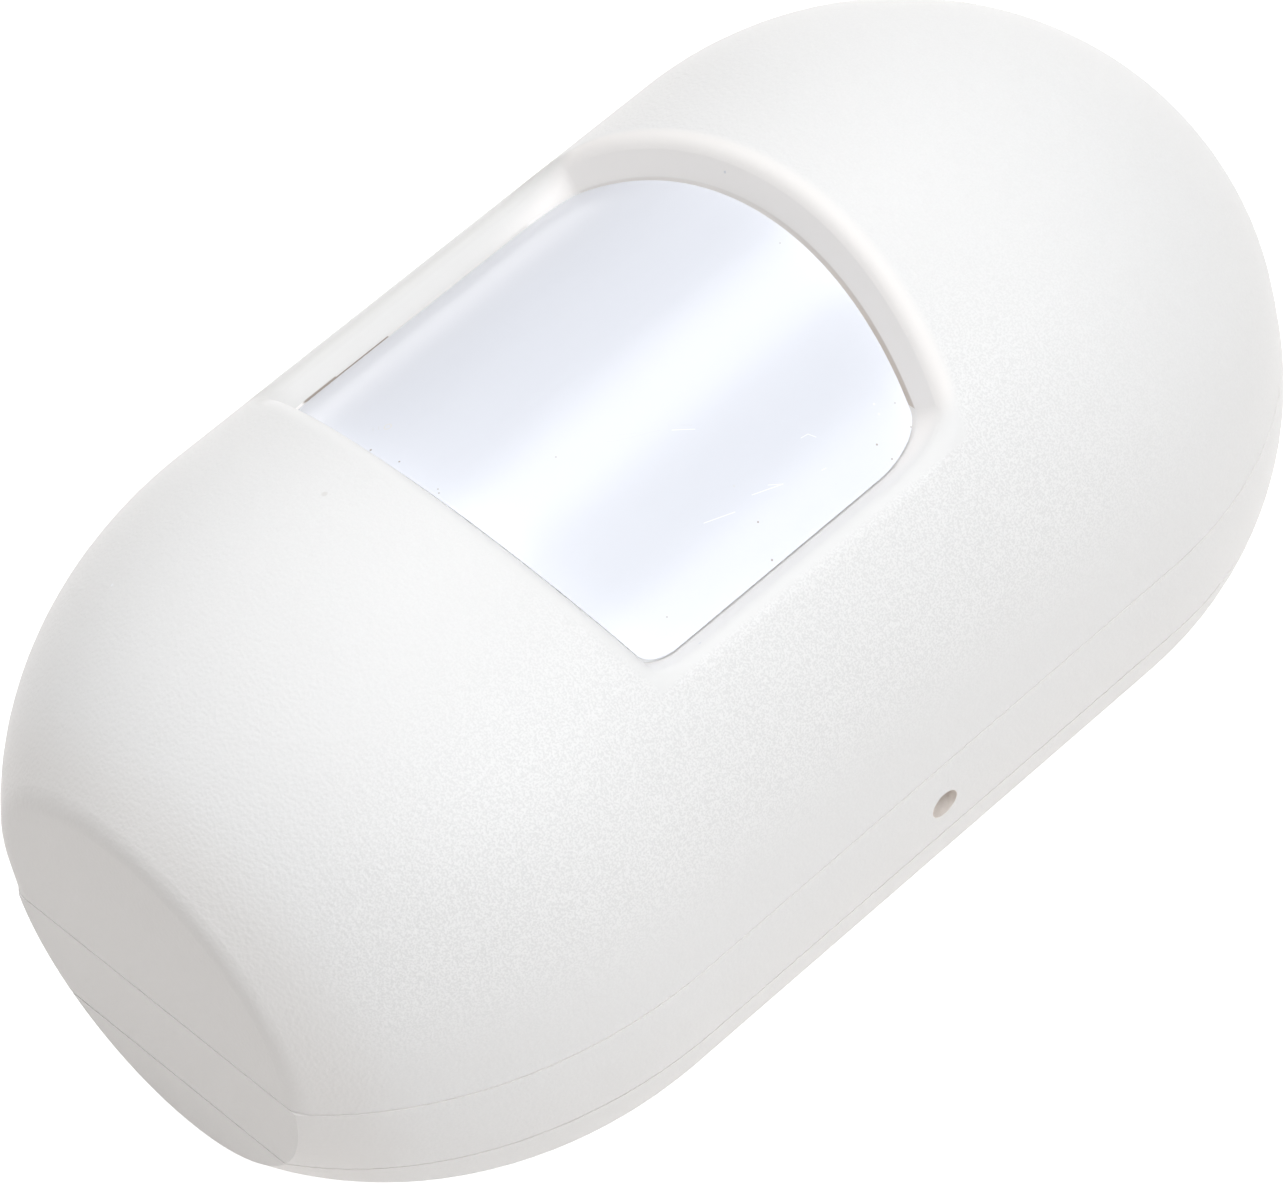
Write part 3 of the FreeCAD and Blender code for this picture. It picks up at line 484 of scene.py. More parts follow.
        # Painted shade on the recess floor strip left of the lens.
        painted_strip_shade = shader.math("MULTIPLY", shader.math("SUBTRACT", 1.0, grained),
                            shader.ramp(shader.math("MULTIPLY", across, -1.0), 18 * MM, 20 * MM))
        colour = shader.blend(painted_strip_shade, colour, self.strip_painted_shade_colour)
        # Painted light on the recess walls above the lens.
        upper = shader.math("MULTIPLY", shader.math("SUBTRACT", 1.0, grained),
                            shader.ramp(along, 2 * MM, 12 * MM))
        beside = shader.ramp(shader.math("ABSOLUTE", across), 20 * MM, 22 * MM)
        upper = shader.math("MULTIPLY", upper, shader.math("SUBTRACT", 1.0, beside))
        colour = shader.blend(upper, colour, self.recess_painted_light_colour)
        # Painted shadow along the foot of the recess wall above the lens.
        painted_foot_shadow = shader.math("SUBTRACT", 1.0, shader.ramp(shader.radial(self.lens_axis), *self.foot_reach))
        painted_foot_shadow = shader.math("MULTIPLY", painted_foot_shadow, shader.math("GREATER_THAN", along, self.foot_along[0]))
        painted_foot_shadow = shader.math("MULTIPLY", painted_foot_shadow, shader.math("LESS_THAN", along, self.foot_along[1]))
        painted_foot_shadow = shader.math("MULTIPLY", painted_foot_shadow, shader.math(
            "MULTIPLY_ADD", shader.ramp(across, *self.foot_across), 0.7, 0.3))
        painted_foot_shadow = shader.math("MULTIPLY", painted_foot_shadow, shader.math("GREATER_THAN", height, self.window_floor))
        # Painted shade towards the bottom end of the case.
        end = shader.ramp(shader.math("MULTIPLY", along, -1.0), *self.end_along)
        colour = shader.blend(end, colour, self.end_painted_shade_colour)
        # Painted light in the gaps and a painted glow in the side hole.
        gap, bore_glow = self.gap(shader)
        colour = shader.blend(bore_glow, shader.blend(gap, colour, self.gap_painted_light_colour), self.bore_painted_glow_colour)
        colour = shader.blend(painted_foot_shadow, colour, self.foot_painted_shadow_colour)
        colour = marked(shader, colour, self.marks)
        shader.set(base_color=colour, roughness=self.roughness, specular_ior_level=self.gloss)
        return shader.material


@dataclass(frozen=True)
class LensPlastic:
    """Smooth, glossy, milky lens with a cool tint, scratched by handling, with painted light on its rim."""

    name: str = "lens_plastic"
    colour: Colour = (0.760, 0.780, 0.845)
    # Painted light on the lens's rim and edges in the gap round it.
    rim_painted_light_colour: Colour = (0.97, 0.97, 0.97)
    rim_radius: float = 31.0 * MM
    axis_height: float = 11.4 * MM
    roughness: float = 0.25
    gloss: float = 0.75
    marks: tuple[Mark, ...] = (
        Mark(MarkKind.PALE, (15.52, -6.35, 38.35), (16.22, -3.99, 37.93), 0.09),
        Mark(MarkKind.PALE, (16.08, -2.11, 38.02), (16.78, 0.27, 37.58), 0.09),
        Mark(MarkKind.PALE, (16.24, -0.66, 37.92), (16.74, 0.20, 37.60), 0.07),
        Mark(MarkKind.PALE, (15.28, 3.75, 38.49), (15.37, 4.37, 38.44), 0.08),
        Mark(MarkKind.PALE, (15.37, 4.37, 38.44), (15.84, 4.67, 38.16), 0.08),
        Mark(MarkKind.PALE, (9.19, -2.96, 41.11), (10.21, -1.67, 40.77), 0.07),
        Mark(MarkKind.FAINT, (9.28, -2.24, 41.08), (9.84, -1.60, 40.90), 0.08),
        Mark(MarkKind.FAINT, (4.03, -8.96, 42.23), (6.99, -6.81, 41.70), 0.06),
        Mark(MarkKind.FAINT, (6.99, -6.81, 41.70), (8.62, -3.59, 41.28), 0.06),
        Mark(MarkKind.FAINT, (6.08, -7.12, 41.90), (7.63, -5.03, 41.55), 0.05),
        Mark(MarkKind.FAINT, (8.46, -2.53, 41.33), (9.05, -3.11, 41.15), 0.06),
        Mark(MarkKind.PALE, (17.70, 3.63, 36.97), (17.64, 3.29, 37.01), 0.08),
        Mark(MarkKind.PALE, (16.56, 9.84, 37.72), width=0.22),
        Mark(MarkKind.PALE, (17.23, 9.60, 37.29), width=0.21),
        Mark(MarkKind.FAINT, (14.92, -2.67, 38.69), width=0.24),
        Mark(MarkKind.FAINT, (18.80, 3.42, 36.18), width=0.18),
        Mark(MarkKind.DIRT, (5.08, -10.56, 42.08), width=0.13),
        Mark(MarkKind.DIRT, (17.59, -3.16, 37.05), width=0.21),
        Mark(MarkKind.DIRT, (18.56, 7.90, 36.36), width=0.22),
        Mark(MarkKind.DIRT, (19.75, 8.09, 35.43), width=0.18),
        Mark(MarkKind.DIRT, (19.79, -4.23, 35.39), width=0.24),
        Mark(MarkKind.DIRT, (19.04, 10.87, 35.99), width=0.16),
        Mark(MarkKind.DIRT, (17.34, 11.14, 37.22), width=0.13),
        Mark(MarkKind.DIRT, (18.46, -13.29, 36.43), width=0.14),
        Mark(MarkKind.DIRT, (-6.75, -18.47, 41.76), width=0.26),
        Mark(MarkKind.DIRT, (-3.73, -18.16, 42.27), width=0.22),
        Mark(MarkKind.DIRT, (1.12, -18.50, 42.48), width=0.16),
        Mark(MarkKind.DIRT, (0.78, -18.29, 42.49), width=0.14),
        Mark(MarkKind.DIRT, (2.94, 14.34, 42.36), width=0.13),
        Mark(MarkKind.STAIN, (-7.67, -16.02, 41.54), width=0.13, radius=0.28),
        Mark(MarkKind.FAINT, (-8.71, -16.66, 41.25), (-8.40, -16.90, 41.35), 0.10),
        Mark(MarkKind.FAINT, (-8.40, -16.35, 41.35), (-8.09, -16.60, 41.43), 0.10),
    )

    def build(self) -> bpy.types.Material:
        """Make the material."""
        shader = Shader(self.name)
        shader.relief(shader.noise(14 * MM, 2.0), 0.05 * MM)
        haze = shader.ramp(shader.noise(2.2 * MM, 3.0, stretch=(1.0, 3.0, 1.0)), 0.25, 0.75)
        darker = tuple(value * 0.992 for value in self.colour)
        # Painted light on the rim below the lens face.
        face = shader.math("GREATER_THAN", shader.radial(self.axis_height), self.rim_radius)
        colour = shader.blend(face, self.rim_painted_light_colour, shader.blend(haze, self.colour, darker))
        shader.set(base_color=marked(shader, colour, self.marks),
                   roughness=self.roughness, specular_ior_level=self.gloss)
        return shader.material


@dataclass(frozen=True)
class PlainFinish:
    """Finish of a hidden piece: a colour with a little variation, gloss and fine relief."""

    name: str
    colour: Colour
    roughness: float = 0.5
    metallic: float = 0.0
    grain: float = 0.4 * MM
    depth: float = 0.004 * MM
    shade: float = 0.9

    def build(self) -> bpy.types.Material:
        """Make the material."""
        shader = Shader(self.name)
        pattern = shader.noise(self.grain, 3.0)
        darker = tuple(value * self.shade for value in self.colour)
        shader.relief(pattern, self.depth)
        shader.set(base_color=shader.blend(pattern, self.colour, darker), roughness=self.roughness,
                   metallic=self.metallic)
        return shader.material


@dataclass(frozen=True)
class BoardMask(PlainFinish):
    """Green solder mask with the faint runs of copper under it."""

    run_colour: Colour = (0.042, 0.225, 0.098)
    run_length: float = 31 * MM
    run_pitch: float = 0.9 * MM
    run_width: float = 0.30 * MM

    def build(self) -> bpy.types.Material:
        """Make the material."""
        shader = Shader(self.name)
        runs = shader.tree.nodes.new("ShaderNodeTexBrick")
        runs.inputs["Scale"].default_value = 1.0
        runs.inputs["Brick Width"].default_value = self.run_length
        runs.inputs["Row Height"].default_value = self.run_pitch
        runs.inputs["Mortar Size"].default_value = 0.5 * self.run_width
        shader.tree.links.new(shader.place, runs.inputs["Vector"])
        copper = runs.outputs["Fac"]
        cloud = shader.noise(self.grain, 2.0)
        darker = tuple(value * self.shade for value in self.colour)
        shader.relief(copper, 0.03 * MM)
        shader.set(base_color=shader.blend(copper, shader.blend(cloud, self.colour, darker), self.run_colour),
                   roughness=self.roughness)
        return shader.material


@dataclass(frozen=True)
class CellSleeve(PlainFinish):
    """Shrunk sleeve of the cell, with one plain band and bare steel at both ends."""

    band_colour: Colour = (0.62, 0.40, 0.16)
    steel: Colour = (0.72, 0.72, 0.70)
    band_start: float = 9 * MM
    sleeve_start: float = -15.9 * MM
    sleeve_end: float = 16.5 * MM

    def build(self) -> bpy.types.Material:
        """Make the material."""
        shader = Shader(self.name)
        across, _, _ = shader.axes()
        band = shader.math("GREATER_THAN", across, self.band_start)
        bare = shader.largest(shader.math("GREATER_THAN", across, self.sleeve_end),
                              shader.math("LESS_THAN", across, self.sleeve_start))
        cloud = shader.noise(self.grain, 3.0)
        darker = tuple(value * self.shade for value in self.colour)
        sleeve = shader.blend(band, shader.blend(cloud, self.colour, darker), self.band_colour)
        shader.relief(shader.math("ADD", cloud, shader.math("MULTIPLY", bare, -6.0)), self.depth)
        shader.set(base_color=shader.blend(bare, sleeve, self.steel), metallic=bare,
                   roughness=self.roughness)
        return shader.material


HIDDEN_FINISHES = {
    "frame_plastic": PlainFinish("frame_plastic", (0.80, 0.80, 0.79)),
    "board": BoardMask("board_mask", (0.03, 0.17, 0.08), 0.3, grain=2 * MM),
    "can_metal": PlainFinish("plated_steel", (0.75, 0.75, 0.73), 0.22, 1.0),
    "filter": PlainFinish("filter_window", (0.05, 0.04, 0.06), 0.1),
    "cell": CellSleeve("cell_sleeve", (0.12, 0.14, 0.18), 0.35),
    "contact_metal": PlainFinish("nickel_plate", (0.72, 0.70, 0.66), 0.28, 1.0),
    "lamp": PlainFinish("lamp_red", (0.65, 0.05, 0.04), 0.2),
    "chip": PlainFinish("moulded_black", (0.03, 0.03, 0.032), 0.5),
    "ceramic": PlainFinish("fired_ceramic", (0.45, 0.33, 0.22), 0.55),
    "can_aluminium": PlainFinish("drawn_aluminium", (0.82, 0.82, 0.82), 0.3, 1.0),
    "wire": PlainFinish("enamelled_wire", (0.70, 0.45, 0.22), 0.3, 1.0),
    "screw_steel": PlainFinish("zinc_plate", (0.62, 0.62, 0.60), 0.35, 1.0),
}


# The studio


class Surround(Enum):
    """Brightness of what the camera sees round the object."""

    WHITE = 1.0
    PALE_GREY = 0.8


@dataclass(frozen=True)
class SoftLamp:
    """Square lamp that faces the object from a direction."""

    name: str
    azimuth: float
    elevation: float
    power: float
    width: float = 0.9
    distance: float = 1.2
    colour: Colour = (0.972, 0.982, 1.0)

    def build(self, centre: Vector) -> bpy.types.Object:
        """Hang the lamp.

        Args:
            centre: point that it faces.

        Returns:
            The lamp.
        """
        data = bpy.data.lights.new(self.name, "AREA")
        data.energy = self.power
        data.size = self.width
        data.color = self.colour
        lamp = bpy.data.objects.new(self.name, data)
        bpy.context.scene.collection.objects.link(lamp)
        turn, lift = math.radians(self.azimuth), math.radians(self.elevation)
        back = Vector((math.sin(turn) * math.cos(lift), -math.cos(turn) * math.cos(lift), math.sin(lift)))
        lamp.location = centre + back * self.distance
        lamp.rotation_mode = "QUATERNION"
        lamp.rotation_quaternion = back.to_track_quat("Z", "Y")
        lamp.visible_camera = False
        return lamp


@dataclass(frozen=True)
class PhotoCamera:
    """Camera at the photograph's place, by the point it faces and its direction."""

    target: Colour = (-5.265 * MM, 0.0, 10.0 * MM)
    azimuth: float = 58.192
    elevation: float = 47.399
    roll: float = -15.093
    distance: float = 507.21 * MM
    focal_length: float = 183.265
    sensor: float = 36.0

    def build(self) -> None:
        """Make the camera and use it for the render."""
        data = bpy.data.cameras.new("photo_camera")
        data.lens = self.focal_length
        data.sensor_width = self.sensor
        data.clip_start, data.clip_end = 0.01, 20.0
        camera = bpy.data.objects.new("photo_camera", data)
        bpy.context.scene.collection.objects.link(camera)
        turn, lift = math.radians(self.azimuth), math.radians(self.elevation)
        back = Vector((math.sin(turn) * math.cos(lift), -math.cos(turn) * math.cos(lift), math.sin(lift)))
        level = back.to_track_quat("Z", "Y").to_matrix().to_4x4()
        spin = Matrix.Rotation(math.radians(self.roll), 4, "Z")
        camera.matrix_world = Matrix.Translation(Vector(self.target) + back * self.distance) @ level @ spin
        bpy.context.scene.camera = camera


@dataclass
class Studio:
    """Pale floor and surround, and soft lamps."""

    surround: Surround = Surround.WHITE
    floor_half: float = 3.0
    floor_colour: Colour = (0.82, 0.79, 0.765)
    floor_glow: float = 0.9
    world_strength: float = 0.12
    centre: Vector = field(default_factory=lambda: Vector((0.0, 0.0, 20 * MM)))
    lamps: tuple[SoftLamp, ...] = (
        SoftLamp("lens_band_left", -145, 62, 1.9, 0.45),
        SoftLamp("lens_band_right", 124, 50, 1.15, 0.33),
        SoftLamp("overhead", 0, 88, 4.78, 0.90, colour=(1.0, 0.99, 0.975)),
        SoftLamp("right_high", 90, 45, 6.45, 0.70, colour=(0.935, 0.968, 1.0)),
        SoftLamp("front_right_high", 45, 45, 1.0, 0.70),
        SoftLamp("left_high", -90, 45, 2.55, 0.70),
        SoftLamp("top_left_low", -140, 12, 1.4, 0.90),
    )

    def seen(self, tree: bpy.types.NodeTree) -> Socket:
        """Share that is 1 where the camera looks, straight on or by gloss or glass.

        Args:
            tree: node tree of the floor or the world.

        Returns:
            1 for such a look and 0 for the light on the object.
        """
        path = tree.nodes.new("ShaderNodeLightPath")
        share = path.outputs["Is Camera Ray"]
        for name in ("Is Glossy Ray", "Is Transmission Ray"):
            either = tree.nodes.new("ShaderNodeMath")
            either.operation = "MAXIMUM"
            tree.links.new(share, either.inputs[0])
            tree.links.new(path.outputs[name], either.inputs[1])
            share = either.outputs[0]
        return share

    def floor(self) -> bpy.types.Object:
        """Lay the floor, which shows nearly white and keeps the shadow."""
        bpy.ops.mesh.primitive_plane_add(size=2 * self.floor_half, location=(0.0, 0.0, -0.05 * MM))
        floor = bpy.context.object
        floor.name = "floor"
        shader = Shader("floor_card")
        shader.set(base_color=self.floor_colour, roughness=0.9)
        glow = shader.tree.nodes.new("ShaderNodeEmission")
        glow.inputs["Strength"].default_value = self.floor_glow * self.surround.value
        both = shader.tree.nodes.new("ShaderNodeAddShader")
        pick = shader.tree.nodes.new("ShaderNodeMixShader")
        shader.tree.links.new(shader.surface.outputs[0], both.inputs[0])
        shader.tree.links.new(glow.outputs[0], both.inputs[1])
        shader.tree.links.new(self.seen(shader.tree), pick.inputs[0])
        shader.tree.links.new(shader.surface.outputs[0], pick.inputs[1])
        shader.tree.links.new(both.outputs[0], pick.inputs[2])
        shader.tree.links.new(pick.outputs[0], shader.output.inputs["Surface"])
        dress(floor, shader.material)
        return floor

    def world(self) -> None:
        """Light from all round, and the surround where the camera looks past the floor."""
        world = bpy.data.worlds.new("surround")
        bpy.context.scene.world = world
        world.use_nodes = True
        tree = world.node_tree
        back = tree.nodes["Background"]
        back.inputs["Color"].default_value = (1.0, 1.0, 1.0, 1.0)
        pick = tree.nodes.new("ShaderNodeMix")
        pick.inputs[2].default_value = self.world_strength
        pick.inputs[3].default_value = self.surround.value
        tree.links.new(self.seen(tree), pick.inputs[0])
        tree.links.new(pick.outputs[0], back.inputs["Strength"])

    def build(self) -> None:
        """Set the studio up."""
        bpy.context.scene.view_settings.view_transform = "Standard"
        self.floor()
        self.world()
        for lamp in self.lamps:
            lamp.build(self.centre)
        PhotoCamera().build()


# The object


@dataclass
class CaseShell:
    """Front cover, back housing and mounting plate, all of one plastic."""

    finish: ShellPlastic = field(default_factory=ShellPlastic)
    nodes: tuple[str, ...] = ("front_cover", "back_housing", "mounting_plate")

    def build(self) -> list[str]:
        """Dress the three mouldings."""
        material = self.finish.build()
        for name in self.nodes:
            dress(frame["nodes"][name], material)
        return list(self.nodes)


@dataclass
class LensWindow:
    """Curved lens panel."""

    finish: LensPlastic = field(default_factory=LensPlastic)

    def build(self) -> list[str]:
        """Dress the lens."""
        dress(frame["nodes"]["fresnel_lens"], self.finish.build())
        return ["fresnel_lens"]


@dataclass
class HiddenPieces:
    """Everything inside the case, each piece in the finish of its material slot."""

    finishes: dict[str, PlainFinish] = field(default_factory=lambda: dict(HIDDEN_FINISHES))

    def build(self) -> list[str]:
        """Dress every node whose slot has a hidden finish."""
        made = {slot: finish.build() for slot, finish in self.finishes.items()}
        dressed = []
        for part in frame["record"]["subparts"]:
            if part["material_slot"] in made:
                dress(frame["nodes"][part["node"]], made[part["material_slot"]])
                dressed.append(part["node"])
        return dressed


def begin(name: str, add: Callable[..., object], **sizes: object) -> bpy.types.Object:
    """Add a primitive with nothing else selected.

    Args:
        name: name of the piece that it becomes.
        add: the operator that adds it.
        sizes: the operator's own settings.

    Returns:
        The new object.
    """
    bpy.ops.object.select_all(action="DESELECT")
    add(**sizes)
    piece = bpy.context.object
    piece.name = piece.data.name = name
    return piece


def pick(piece: bpy.types.Object, mode: str, rule: Callable[..., bool]) -> int:
    """Select faces, edges or vertices of a piece in edit mode by their place.

    Args:
        piece: object in edit mode.
        mode: "FACE", "EDGE" or "VERT".
        rule: says for each one whether it is taken.

    Returns:
        How many were taken.
    """
    bpy.ops.mesh.select_mode(type=mode)
    bpy.ops.mesh.select_all(action="DESELECT")
    grid = bmesh.from_edit_mesh(piece.data)
    items = {"FACE": grid.faces, "EDGE": grid.edges, "VERT": grid.verts}[mode]
    taken = [item for item in items if rule(item)]
    for item in taken:
        item.select_set(True)
    grid.select_flush_mode()
    bmesh.update_edit_mesh(piece.data)
    return len(taken)


def settle(piece: bpy.types.Object, material: bpy.types.Material) -> bpy.types.Object:
    """Put a piece's place into its mesh, dress it and let it ride on the case.

    Args:
        piece: the finished piece.
        material: its material.

    Returns:
        The same piece.
    """
    bpy.ops.object.select_all(action="DESELECT")
    piece.select_set(True)
    bpy.context.view_layer.objects.active = piece
    bpy.ops.object.transform_apply(location=True, rotation=True, scale=True)
    bpy.ops.object.shade_smooth_by_angle(angle=math.radians(35))
    dress(piece, material)
    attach(piece, "root")
    return piece


def repeat(piece: bpy.types.Object, name: str, places: list[Vector]) -> bpy.types.Object:
    """Copy a piece to several places and join the copies.

    Args:
        piece: model at the origin, which is used up.
        name: name of the joined piece.
        places: where the copies go.

    Returns:
        The joined piece.
    """
    bpy.ops.object.select_all(action="DESELECT")
    copies = []
    for place in places:
        copy = piece.copy()
        copy.data = piece.data.copy()
        copy.data.transform(Matrix.Translation(place))
        bpy.context.scene.collection.objects.link(copy)
        copy.select_set(True)
        copies.append(copy)
    bpy.context.view_layer.objects.active = copies[0]
    bpy.ops.object.join()
    copies[0].name = copies[0].data.name = name
    bpy.data.objects.remove(piece)
    return copies[0]


@dataclass
class PartingSeam:
    """Closed bead in a parting gap, which may lie deeper towards the bottom end."""

    name: str = "seam_bead"
    low: float = 16.30 * MM
    high: float = 16.45 * MM
    slab: float = 15.65 * MM
    sink: float = 0.03 * MM
    deep_sink: float = 0.10 * MM
    facet_sink: float = 0.24 * MM
    finish: PlainFinish = PlainFinish("seam_plastic", (0.82, 0.805, 0.79), 0.55)
    slab_height: float = 0.30 * MM
    half_width: float = 30 * MM
    depth: float = 0.5 * MM
    flush_from: float = -17 * MM
    deep_from: float = -27 * MM
    facet_from: float = -49 * MM

    def outline(self) -> bpy.types.Object:
        """Flat slab with the outline of the housing near the seam."""
        source = frame["nodes"]["back_housing"]
        piece = bpy.data.objects.new(self.name, source.data.copy())
        bpy.context.scene.collection.objects.link(piece)
        bpy.ops.object.select_all(action="DESELECT")
        piece.select_set(True)
        bpy.context.view_layer.objects.active = piece
        bpy.ops.object.mode_set(mode="EDIT")
        bpy.ops.mesh.select_all(action="SELECT")
        bpy.ops.mesh.remove_doubles(threshold=0.001 * MM)
        bpy.ops.mesh.bisect(plane_co=(0.0, 0.0, self.slab), plane_no=(0.0, 0.0, 1.0), clear_inner=True)
        bpy.ops.mesh.select_all(action="SELECT")
        bpy.ops.mesh.bisect(plane_co=(0.0, 0.0, self.slab + self.slab_height), plane_no=(0.0, 0.0, 1.0),
                            clear_outer=True)
        bpy.ops.mesh.select_all(action="SELECT")
        bpy.ops.mesh.convex_hull(delete_unused=True, use_existing_faces=False, make_holes=False)
        return piece

    def build(self) -> list[str]:
        """Model and dress the bead."""
        piece = self.outline()
        middle = self.slab + 0.5 * self.slab_height
        grid = bmesh.from_edit_mesh(piece.data)
        grid.verts.index_update()
        groups = [{vert.index for vert in grid.verts if (vert.co.z > middle) == upper}
                  for upper in (True, False)]
        for taken, height in zip(groups, (self.high, self.low)):
            pick(piece, "VERT", lambda vert: vert.index in taken)
            bpy.ops.transform.resize(value=(1.0, 1.0, 0.0), center_override=(0.0, 0.0, height))
        for cut in (self.flush_from, self.deep_from):
            bpy.ops.mesh.select_all(action="SELECT")
            bpy.ops.mesh.bisect(plane_co=(0.0, cut, 0.0), plane_no=(0.0, 1.0, 0.0))
        bpy.ops.mesh.select_all(action="SELECT")
        self.sink_in(self.sink)
        pick(piece, "VERT", lambda vert: vert.co.y < self.deep_from + self.sink)
        self.sink_in(self.deep_sink)
        pick(piece, "VERT", lambda vert: vert.co.y < self.facet_from)
        bpy.ops.transform.translate(value=(0.0, self.facet_sink, 0.0))
        bpy.ops.mesh.select_all(action="SELECT")
        bpy.ops.mesh.remove_doubles(threshold=0.06 * MM)
        bpy.ops.mesh.dissolve_limited(angle_limit=math.radians(0.3), delimit={"SHARP"})
        bpy.ops.mesh.normals_make_consistent(inside=False)
        pick(piece, "FACE", lambda face: abs(face.normal.z) > 0.9)
        bpy.ops.mesh.inset(thickness=self.depth, depth=0.0, use_individual=True)
        bpy.ops.mesh.bridge_edge_loops()
        bpy.ops.mesh.select_all(action="SELECT")
        bpy.ops.mesh.normals_make_consistent(inside=False)
        bpy.ops.object.mode_set(mode="OBJECT")
        settle(piece, self.finish.build())
        return [piece.name]

    def sink_in(self, depth: float) -> None:
        """Draw what is selected in from the case's surface.

        Args:
            depth: how far, at the case's sides.
        """
        share = depth / self.half_width
        bpy.ops.transform.resize(value=(1.0 - share, 1.0 - 0.5 * share, 1.0),
                                 center_override=(0.0, 0.0, self.low))


@dataclass
class SolderJoints:
    """Solder cones under the board at every pin that passes through it."""

    finish: PlainFinish = PlainFinish("solder", (0.66, 0.66, 0.68), 0.3, 1.0, grain=0.5 * MM)
    foot_radius: float = 0.85 * MM
    neck_radius: float = 0.40 * MM
    height: float = 0.75 * MM
    waist: float = 0.80
    tip: float = 0.30 * MM
    underside: float = 13.25 * MM
    pins: tuple[tuple[float, float], ...] = (
        (2.55, 0.0), (-2.55, 0.0), (0.0, -2.55), (-14.77, 11.6), (-12.23, 11.6),
        (9.05, 13.0), (13.95, 13.0), (18.25, -29.0), (-18.25, -29.0))

    def joint(self) -> bpy.types.Object:
        """One joint, foot up, at the origin."""
        piece = begin("solder_joint", bpy.ops.mesh.primitive_cone_add, vertices=20,
                      radius1=self.neck_radius, radius2=self.foot_radius, depth=self.height,
                      location=(0.0, 0.0, -0.5 * self.height))
        bpy.ops.object.transform_apply(location=True, rotation=True, scale=True)
        bpy.ops.object.mode_set(mode="EDIT")
        bpy.ops.mesh.select_all(action="SELECT")
        bpy.ops.mesh.bisect(plane_co=(0.0, 0.0, -0.45 * self.height), plane_no=(0.0, 0.0, 1.0))
        pick(piece, "VERT", lambda vert: abs(vert.co.z + 0.45 * self.height) < 0.05 * self.height)
        bpy.ops.transform.resize(value=(self.waist, self.waist, 1.0), center_override=(0.0, 0.0, 0.0))
        pick(piece, "FACE", lambda face: face.normal.z < -0.9)
        bpy.ops.mesh.inset(thickness=0.4 * self.neck_radius, depth=0.0)
        bpy.ops.mesh.extrude_region_move(TRANSFORM_OT_translate={"value": (0.0, 0.0, -self.tip)})
        bpy.ops.object.mode_set(mode="OBJECT")
        return piece

    def build(self) -> list[str]:
        """Model one joint and copy it to every pin."""
        places = [Vector((x * MM, y * MM, self.underside)) for x, y in self.pins]
        piece = repeat(self.joint(), "solder_joints", places)
        settle(piece, self.finish.build())
        return [piece.name]


@dataclass
class ChipTerminals:
    """Tinned end caps of the two rows of small chips."""

    finish: PlainFinish = PlainFinish("tinned_cap", (0.74, 0.73, 0.70), 0.32, 1.0, grain=0.3 * MM)
    reach: float = 0.42 * MM
    proud: float = 0.04 * MM
    round: float = 0.08 * MM
    count: int = 6

    def cap(self, size: Vector) -> bpy.types.Object:
        """One end cap, at the origin.

        Args:
            size: the chip's length, width and height.

        Returns:
            The cap.
        """
        piece = begin("end_cap", bpy.ops.mesh.primitive_cube_add, size=1.0)
        piece.scale = (self.reach, size.y + 2 * self.proud, size.z + self.proud)
        bpy.ops.object.transform_apply(location=True, rotation=True, scale=True)
        bpy.ops.object.mode_set(mode="EDIT")
        pick(piece, "EDGE", lambda edge: min(vert.co.z for vert in edge.verts) > 0.0
             or abs(edge.verts[0].co.z - edge.verts[1].co.z) > 0.5 * size.z)
        bpy.ops.mesh.bevel(offset=self.round, segments=2, affect="EDGES")
        bpy.ops.object.mode_set(mode="OBJECT")
        return piece

    def build(self) -> list[str]:
        """Cap both ends of every chip in both rows."""
        material = self.finish.build()
        names = []
        for node, name in (("chip_resistors", "resistor_caps"), ("ceramic_capacitors", "ceramic_caps")):
            low, high = (Vector(corner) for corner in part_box(node))
            width = (high.y - low.y) - (self.count - 1) * self.pitch(low, high)
            size = Vector((high.x - low.x, width, high.z - low.z))
            places = [Vector((x, low.y + 0.5 * width + index * self.pitch(low, high),
                              low.z + 0.5 * (size.z + self.proud)))
                      for x in (low.x + 0.5 * self.reach - self.proud, high.x - 0.5 * self.reach + self.proud)
                      for index in range(self.count)]
            piece = repeat(self.cap(size), name, places)
            settle(piece, material)
            names.append(piece.name)
        return names

    def pitch(self, low: Vector, high: Vector) -> float:
        """Distance between neighbours in a row, whose chips are 1.25 mm wide."""
        return (high.y - low.y - 1.25 * MM) / (self.count - 1)


